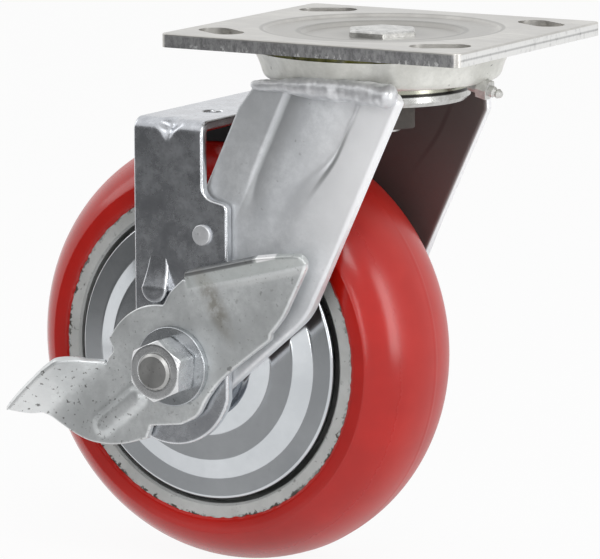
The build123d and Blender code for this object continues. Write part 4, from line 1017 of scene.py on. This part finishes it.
def strapOutline():
    # the flat blank: a bridge and two arms with a step and a round end
    arc = np.linspace(strap["back"], strap["foot"], 40)
    low = -strap["endDrop"] - np.sqrt(strap["endRadius"] ** 2 - (arc + strap["endShift"]) ** 2)
    end = np.stack([arc, strapAlong(low)], -1)
    step = np.array([(strap["foot"], strapAlong(strap["stepHeight"] - strap["stepFall"])),
                     (strap["front"], strapAlong(strap["stepHeight"]))])
    half = np.vstack([end, step])
    radii = [0] * len(end) + [2.5, 4.5]
    return roundedLine(np.vstack([half, half[::-1] * [1, -1]]), radii + radii[::-1], 0.8)


def strapRelief(uv):
    # a valley pressed into each fold, deepest on the fold and running out on both sides
    wide, long, deep = strap["dart"]
    past = np.abs(np.abs(uv[:, 1]) - (strapFlat + strapTurned) / 2)
    reach = np.clip(1 - past / long, 0, 1)
    inside = np.clip(reach - np.abs(uv[:, 0] - strapMid) / wide, 0, 1)
    return -deep * (np.sqrt(inside ** 2 + 0.004) - 0.063)


def fingerRelief(uv):
    # a bulge that falls away up the tongue and ends level with the strap
    fall = np.clip(1 - (uv[:, 1] - pedal["finger"][1]) / (strap["fingerLength"] - 1), 0, 1)
    return strap["fingerHeight"] * fall ** 1.5 - 0.02


def makeStrap():
    # the folded blank with two round holes and two upright slots; the near arm carries the finger
    x, y = strap["hole"]
    drop, slotLength, slotRadius = strap["slot"]
    holes = [[x, side * y] + onCircle(turnSteps(40), strap["holeRadius"]) for side in (1, -1)]
    slots = [slotLine((0, side * strapAlong(drop)), slotLength, slotRadius) for side in (-1, 1)]
    piece = makeSheet("strapSheet", [strapOutline(), *holes, *slots], onStrap, strapRelief,
                      strap["thickness"], "strap", strapSteel, 1.0, edge=strap["edge"],
                      wearWidth=1.1)
    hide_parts("brake_strap")
    r, tall = pedal["fingerRadius"], strap["fingerLength"]
    tip = onCircle(np.linspace(math.pi, 2 * math.pi, 24), r)
    half = r - strap["fingerNarrow"]
    tongue = pedal["finger"] + np.vstack([tip, [(half, tall), (-half, tall)]])
    makeSheet("strapFinger", [evenLine(tongue, 0.5)], nearFace(strap["outer"]), fingerRelief,
              strap["fingerHeight"] + strap["fingerSunk"], "strap", strapSteel, 0.7, edge=1.0,
              wearWidth=1.2)


strapSteel = plated("strapSteel", (0.66, 0.68, 0.715, 1), (0.44, 0.455, 0.485, 1), roughness=(0.20, 0.34),
                    cloud=110.0, specks=0.5, bump=0.10, mottle=0.7, extra=strapFinish)
makeStrap()
print("castor: strap made")


# stamped discs

disc = {"levels": (32.2, 31.6, 29.1, 26.4), "bands": (17.6, 19.0, 21.2, 27.4, 36.4, 42.9), "edge": 50.5,
        "thickness": 1.2, "bore": 16.9, "roll": 1.0, "lip": 2.2, "steps": 300}
discSteel = plated("discSteel", (0.64, 0.665, 0.69, 1), (0.55, 0.575, 0.60, 1), roughness=(0.11, 0.19),
                   cloud=30.0, specks=0.1, bump=0.03, mottle=0.2)


def discHeight(radius):
    # flats joined by straight cones, each corner rounded by averaging over a short width
    levels = np.repeat(disc["levels"], 2)
    shifts = np.linspace(-0.5, 0.5, 5)
    return sum(np.interp(radius + shift, (0, *disc["bands"], 99), levels) for shift in shifts) / len(shifts)


def makeDisc(name, side, replaced):
    # the flats and cones, a border rolled back and the skin behind, turned round the axle
    d = disc
    radius = np.linspace(d["bore"], d["edge"] - d["roll"], 150)
    skin = np.stack([discHeight(radius), radius], -1)
    roll = skin[-1] - [d["roll"], 0] + onCircle(np.linspace(0, math.pi / 2, 8)[1:], d["roll"])
    lipEnd = roll[-1, 0] - d["lip"] + d["roll"]
    lip = np.array([(lipEnd, d["edge"]), (lipEnd, d["edge"] - d["thickness"])])
    section = np.vstack([skin, roll, lip, (skin - [d["thickness"], 0])[::-1]])
    piece = makePiece(name, spin(section * [side, 1], d["steps"]), [gridFaces(d["steps"], len(section))],
                      "wheel", discSteel, flip=side > 0)
    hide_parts(replaced)


makeDisc("discSkinNear", -1, "disc_near")
makeDisc("discSkinFar", 1, "disc_far")
print("castor: discs made")


# axle nut

nut = {"across": 19.05, "turn": 25.0, "sharpness": 46, "coneRadius": 9.35, "coneAngle": 30, "blend": 7,
       "inner": 49.3, "outer": 59.5, "bore": 6.36, "steps": 216}
nutSteel = plated("nutSteel", (0.82, 0.83, 0.84, 1), (0.60, 0.61, 0.62, 1), roughness=(0.20, 0.32),
                  cloud=120.0, specks=0.4, bump=0.08, mottle=0.5)


def makeNut():
    # radius at each angle from six flats with softened corners, then cut by a cone at the outer end
    n = nut
    inner, outer, bore = n["inner"], n["outer"], n["bore"]
    turn = turnSteps(n["steps"])[:, None]
    flats = np.radians(n["turn"] + 60 * np.arange(6) + 30)
    cosines = np.clip(np.cos(turn - flats[None]), 1e-6, None)
    hexRadius = n["across"] / 2 / (cosines ** n["sharpness"]).sum(1, keepdims=True) ** (1 / n["sharpness"])
    y = np.concatenate([[inner], np.linspace(inner + 0.3, outer - 2.6, 6),
                        np.linspace(outer - 2.3, outer, 26)])
    cone = n["coneRadius"] + (outer - y)[None] / math.tan(math.radians(n["coneAngle"]))
    inset = n["coneRadius"] + 0.35 + (y - inner)[None] * 4
    sides = -np.log(sum(np.exp(-n["blend"] * limit) for limit in (hexRadius, cone, inset))) / n["blend"]
    face = bore + (sides[:, -1:] - bore) * np.linspace(1, 0, 6)[None, 1:]
    radius = np.concatenate([np.full((n["steps"], 1), bore), sides, face], 1)
    along = np.concatenate([[inner], y, np.full(5, outer)])[None] + 0 * radius
    pts = np.stack([axleX + radius * np.cos(turn), -along, axleZ + radius * np.sin(turn)], -1)
    piece = makePiece("nutBody", pts, [gridFaces(n["steps"], radius.shape[1])], "fork", nutSteel)
    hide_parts("axle_nut")


makeNut()
print("castor: nut made")


# grease in the race gap

grease = {"radius": 40.6, "low": -8.4, "high": -5.4, "thick": 1.1, "lump": 0.45, "steps": 320, "around": 22}
greaseYellow = plainMaterial("greaseYellow", (0.30, 0.30, 0.07, 1), 0.30, coat=0.3, noiseScale=260.0,
                             spread=0.2, bump=0.5)


def makeGrease():
    # a lumpy ring of grease pressed out between the plate and the cup's rim
    g = grease
    turn = turnSteps(g["steps"])[:, None]
    around = turnSteps(g["around"])[None, :]
    where = np.stack(np.broadcast_arrays(np.cos(turn) * 40, np.sin(turn) * 40, 3 * np.sin(around)), -1)
    lump = softNoise(where, 7.0, 21, 4)
    r = g["radius"] + np.cos(around) * (g["thick"] + g["lump"] * lump)
    z = (g["low"] + g["high"]) / 2 + np.sin(around) * (g["high"] - g["low"]) / 2 * (1.0 + 0.05 * lump)
    pts = np.stack([r * np.cos(turn), r * np.sin(turn), z], -1)
    makePiece("greaseRing", pts, [gridFaces(g["steps"], g["around"])], "fork", greaseYellow)


makeGrease()
print("castor: grease made")


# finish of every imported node

nodeFinish = {
    "top_plate": plateSteel, "king_bolt": kingSteel, "king_washer": greaseAndShadeSteel, "king_nut": greaseAndShadeSteel,
    "lower_race": raceSteel, "swivel_base": cupSteel, "upper_balls": ballSteel, "lower_balls": ballSteel,
    "grease_nipple": nippleSteel, "fork_leg_near": forkSteel, "fork_leg_far": forkSteel,
    "weld_near": weldSteel, "weld_far": weldSteel, "axle_bolt": boltSteel, "axle_nut": boltSteel,
    "nut_washer": washerSteel, "head_washer": washerSteel, "pedal_bush": bushSteel, "strap_bush": bushSteel,
    "axle_sleeve": bushSteel, "thrust_washer_near": bushSteel, "thrust_washer_far": bushSteel,
    "tread": redTread, "wheel_core": coreMetal, "disc_near": discSteel, "disc_far": discSteel,
    "hub_rollers": ballSteel, "roller_cage": cagePlastic, "brake_strap": strapSteel, "brake_pad": padRubber,
    "pad_stud": boltSteel, "guide_pin_near": pinSteel, "guide_pin_far": pinSteel, "brake_pedal": pedalSteel,
}
for name, material in nodeFinish.items():
    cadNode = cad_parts[name]
    cadNode.data.materials.clear()
    cadNode.data.materials.append(material)
print("castor: packed nodes dressed")


# studio

studio = {"lightLevel": 0.56, "floorGlow": 0.93, "floorHalf": 3.0, "floorLevel": -0.1905}
lamps = {  # place, aim, size, power
    "keyLamp": ((0.55, -0.75, 0.75), (0, 0, -0.08), (0.5, 0.5), 3.0),
    "sideLamp": ((1.0, -0.1, 0.15), (0, 0, -0.08), (0.30, 0.7), 3.2),
    "leftLamp": ((-0.9, -0.2, 0.5), (-0.05, 0, -0.1), (0.4, 0.6), 1.0),
}
cards = {  # centre, normal, size, shade
    "darkCardLeft": ((-0.29, -0.40, -0.01), (0.5, 0.85, 0.0), (0.62, 0.36), 0.15),
    "greyCardFloor": ((-0.2725, -0.3175, -0.189), (0.001, 0, 1), (0.445, 0.395), 0.42),
    "stripCardLeft": ((0.02, -0.80, -0.03), (0, 1, 0), (0.040, 0.30), 8.0),
    "stripCardRight": ((0.33, -0.72, -0.03), (-0.4, 0.9, 0), (0.040, 0.30), 8.0),
}
camera = {"place": (0.7233, -1.2739, 0.1772), "azimuth": 30.69, "elevation": 10.22, "roll": -0.20,
          "focal": 4343.0, "frameWidth": 600.0, "sensor": 36.0}  # focal length and width in pixels


def facing(back):
    # unit vectors to the right, up and back of what looks against back, with right level
    back = np.array(back, float) / np.linalg.norm(back)
    right = np.cross([0, 0, 1.0], back)
    right /= np.linalg.norm(right)
    return np.array([right, np.cross(back, right), back])


def placeLooking(name, data, axes, place):
    # links an object whose own axes and place are given
    grid = np.eye(4)
    grid[:3, :3] = axes.T
    grid[:3, 3] = place
    made = bpy.data.objects.new(name, data)
    bpy.context.scene.collection.objects.link(made)
    made.matrix_world = Matrix(grid.tolist())
    return made


def stageQuad(name, corners, material):
    # one flat quad that belongs to the stage
    mesh = bpy.data.meshes.new(name)
    mesh.from_pydata([tuple(corner) for corner in corners], [], [(0, 1, 2, 3)])
    mesh.materials.append(material)
    quad = bpy.data.objects.new(name, mesh)
    bpy.context.scene.collection.objects.link(quad)
    return quad


def emission(tree, shade):
    # a plain grey glow
    glow = tree.nodes.new("ShaderNodeEmission")
    glow.inputs["Color"].default_value = (shade, shade, shade, 1)
    return glow.outputs[0]


def makeWorld():
    # white for what the camera and reflections see, a plain grey for the light itself
    world = bpy.data.worlds.new("studioWorld")
    bpy.context.scene.world = world
    world.use_nodes = True
    tree = world.node_tree
    back = tree.nodes["Background"].inputs
    path = tree.nodes.new("ShaderNodeLightPath").outputs
    seen = calc(tree, "MAXIMUM", path["Is Glossy Ray"], path["Is Transmission Ray"])
    seen = calc(tree, "MAXIMUM", path["Is Camera Ray"], seen)
    level = studio["lightLevel"]
    tree.links.new(calc(tree, "ADD", product(tree, seen, 1.0 - level), level), back["Strength"])
    back["Color"].default_value = (1, 1, 1, 1)


def makeLamp(name, place, aim, size, power):
    # a rectangular area lamp turned to its aim
    data = bpy.data.lights.new(name, "AREA")
    data.shape = "RECTANGLE"
    data.size, data.size_y = size
    data.energy = power
    placeLooking(name, data, facing(np.subtract(place, aim)), place)


def makeCard(name, centre, normal, size, shade):
    # a flat card of a plain shade that reflections see and the camera does not
    made, tree, shader = newMaterial(name)
    tree.nodes.remove(shader)
    tree.links.new(emission(tree, shade), tree.nodes["Material Output"].inputs["Surface"])
    right, up, _ = facing(normal)
    right, up = right * size[0] / 2, up * size[1] / 2
    corners = [centre + right * i + up * j for i, j in ((-1, -1), (1, -1), (1, 1), (-1, 1))]
    card = stageQuad(name, corners, made)
    card.visible_camera = False
    card.visible_diffuse = False
    card.visible_shadow = False


def makeFloor():
    # white to the camera and to reflections; it keeps the soft contact shadow
    made, tree, shader = newMaterial("floorWhite")
    shader.inputs["Base Color"].default_value = (0.9, 0.9, 0.9, 1)
    shader.inputs["Roughness"].default_value = 0.9
    path = tree.nodes.new("ShaderNodeLightPath").outputs
    seen = calc(tree, "MAXIMUM", path["Is Camera Ray"], path["Is Glossy Ray"])
    mix = tree.nodes.new("ShaderNodeMixShader")
    links = (product(tree, seen, studio["floorGlow"]), shader.outputs[0], emission(tree, 1.0))
    for index, value in enumerate(links):
        tree.links.new(value, mix.inputs[index])
    tree.links.new(mix.outputs[0], tree.nodes["Material Output"].inputs["Surface"])
    half, level = studio["floorHalf"], studio["floorLevel"]
    corners = [(half * i, half * j, level) for i, j in ((-1, -1), (1, -1), (1, 1), (-1, 1))]
    stageQuad("studioFloor", corners, made)


def makeCamera():
    # looks along the line that azimuth and elevation give, then turned by roll
    a, e, r = (math.radians(camera[key]) for key in ("azimuth", "elevation", "roll"))
    axes = facing([math.sin(a) * math.cos(e), -math.cos(a) * math.cos(e), math.sin(e)])
    rolled = np.array([[math.cos(r), math.sin(r), 0], [-math.sin(r), math.cos(r), 0], [0, 0, 1]]) @ axes
    data = bpy.data.cameras.new("viewCamera")
    data.sensor_width = camera["sensor"]
    data.sensor_fit = "HORIZONTAL"
    data.lens = camera["focal"] * camera["sensor"] / camera["frameWidth"]
    data.clip_start, data.clip_end = 0.05, 50.0
    bpy.context.scene.camera = placeLooking("viewCamera", data, rolled, camera["place"])


makeWorld()
for name, values in lamps.items():
    makeLamp(name, *values)
for name, values in cards.items():
    makeCard(name, *values)
makeFloor()
makeCamera()
bpy.context.scene.view_settings.view_transform = "Standard"
print("castor: studio made")
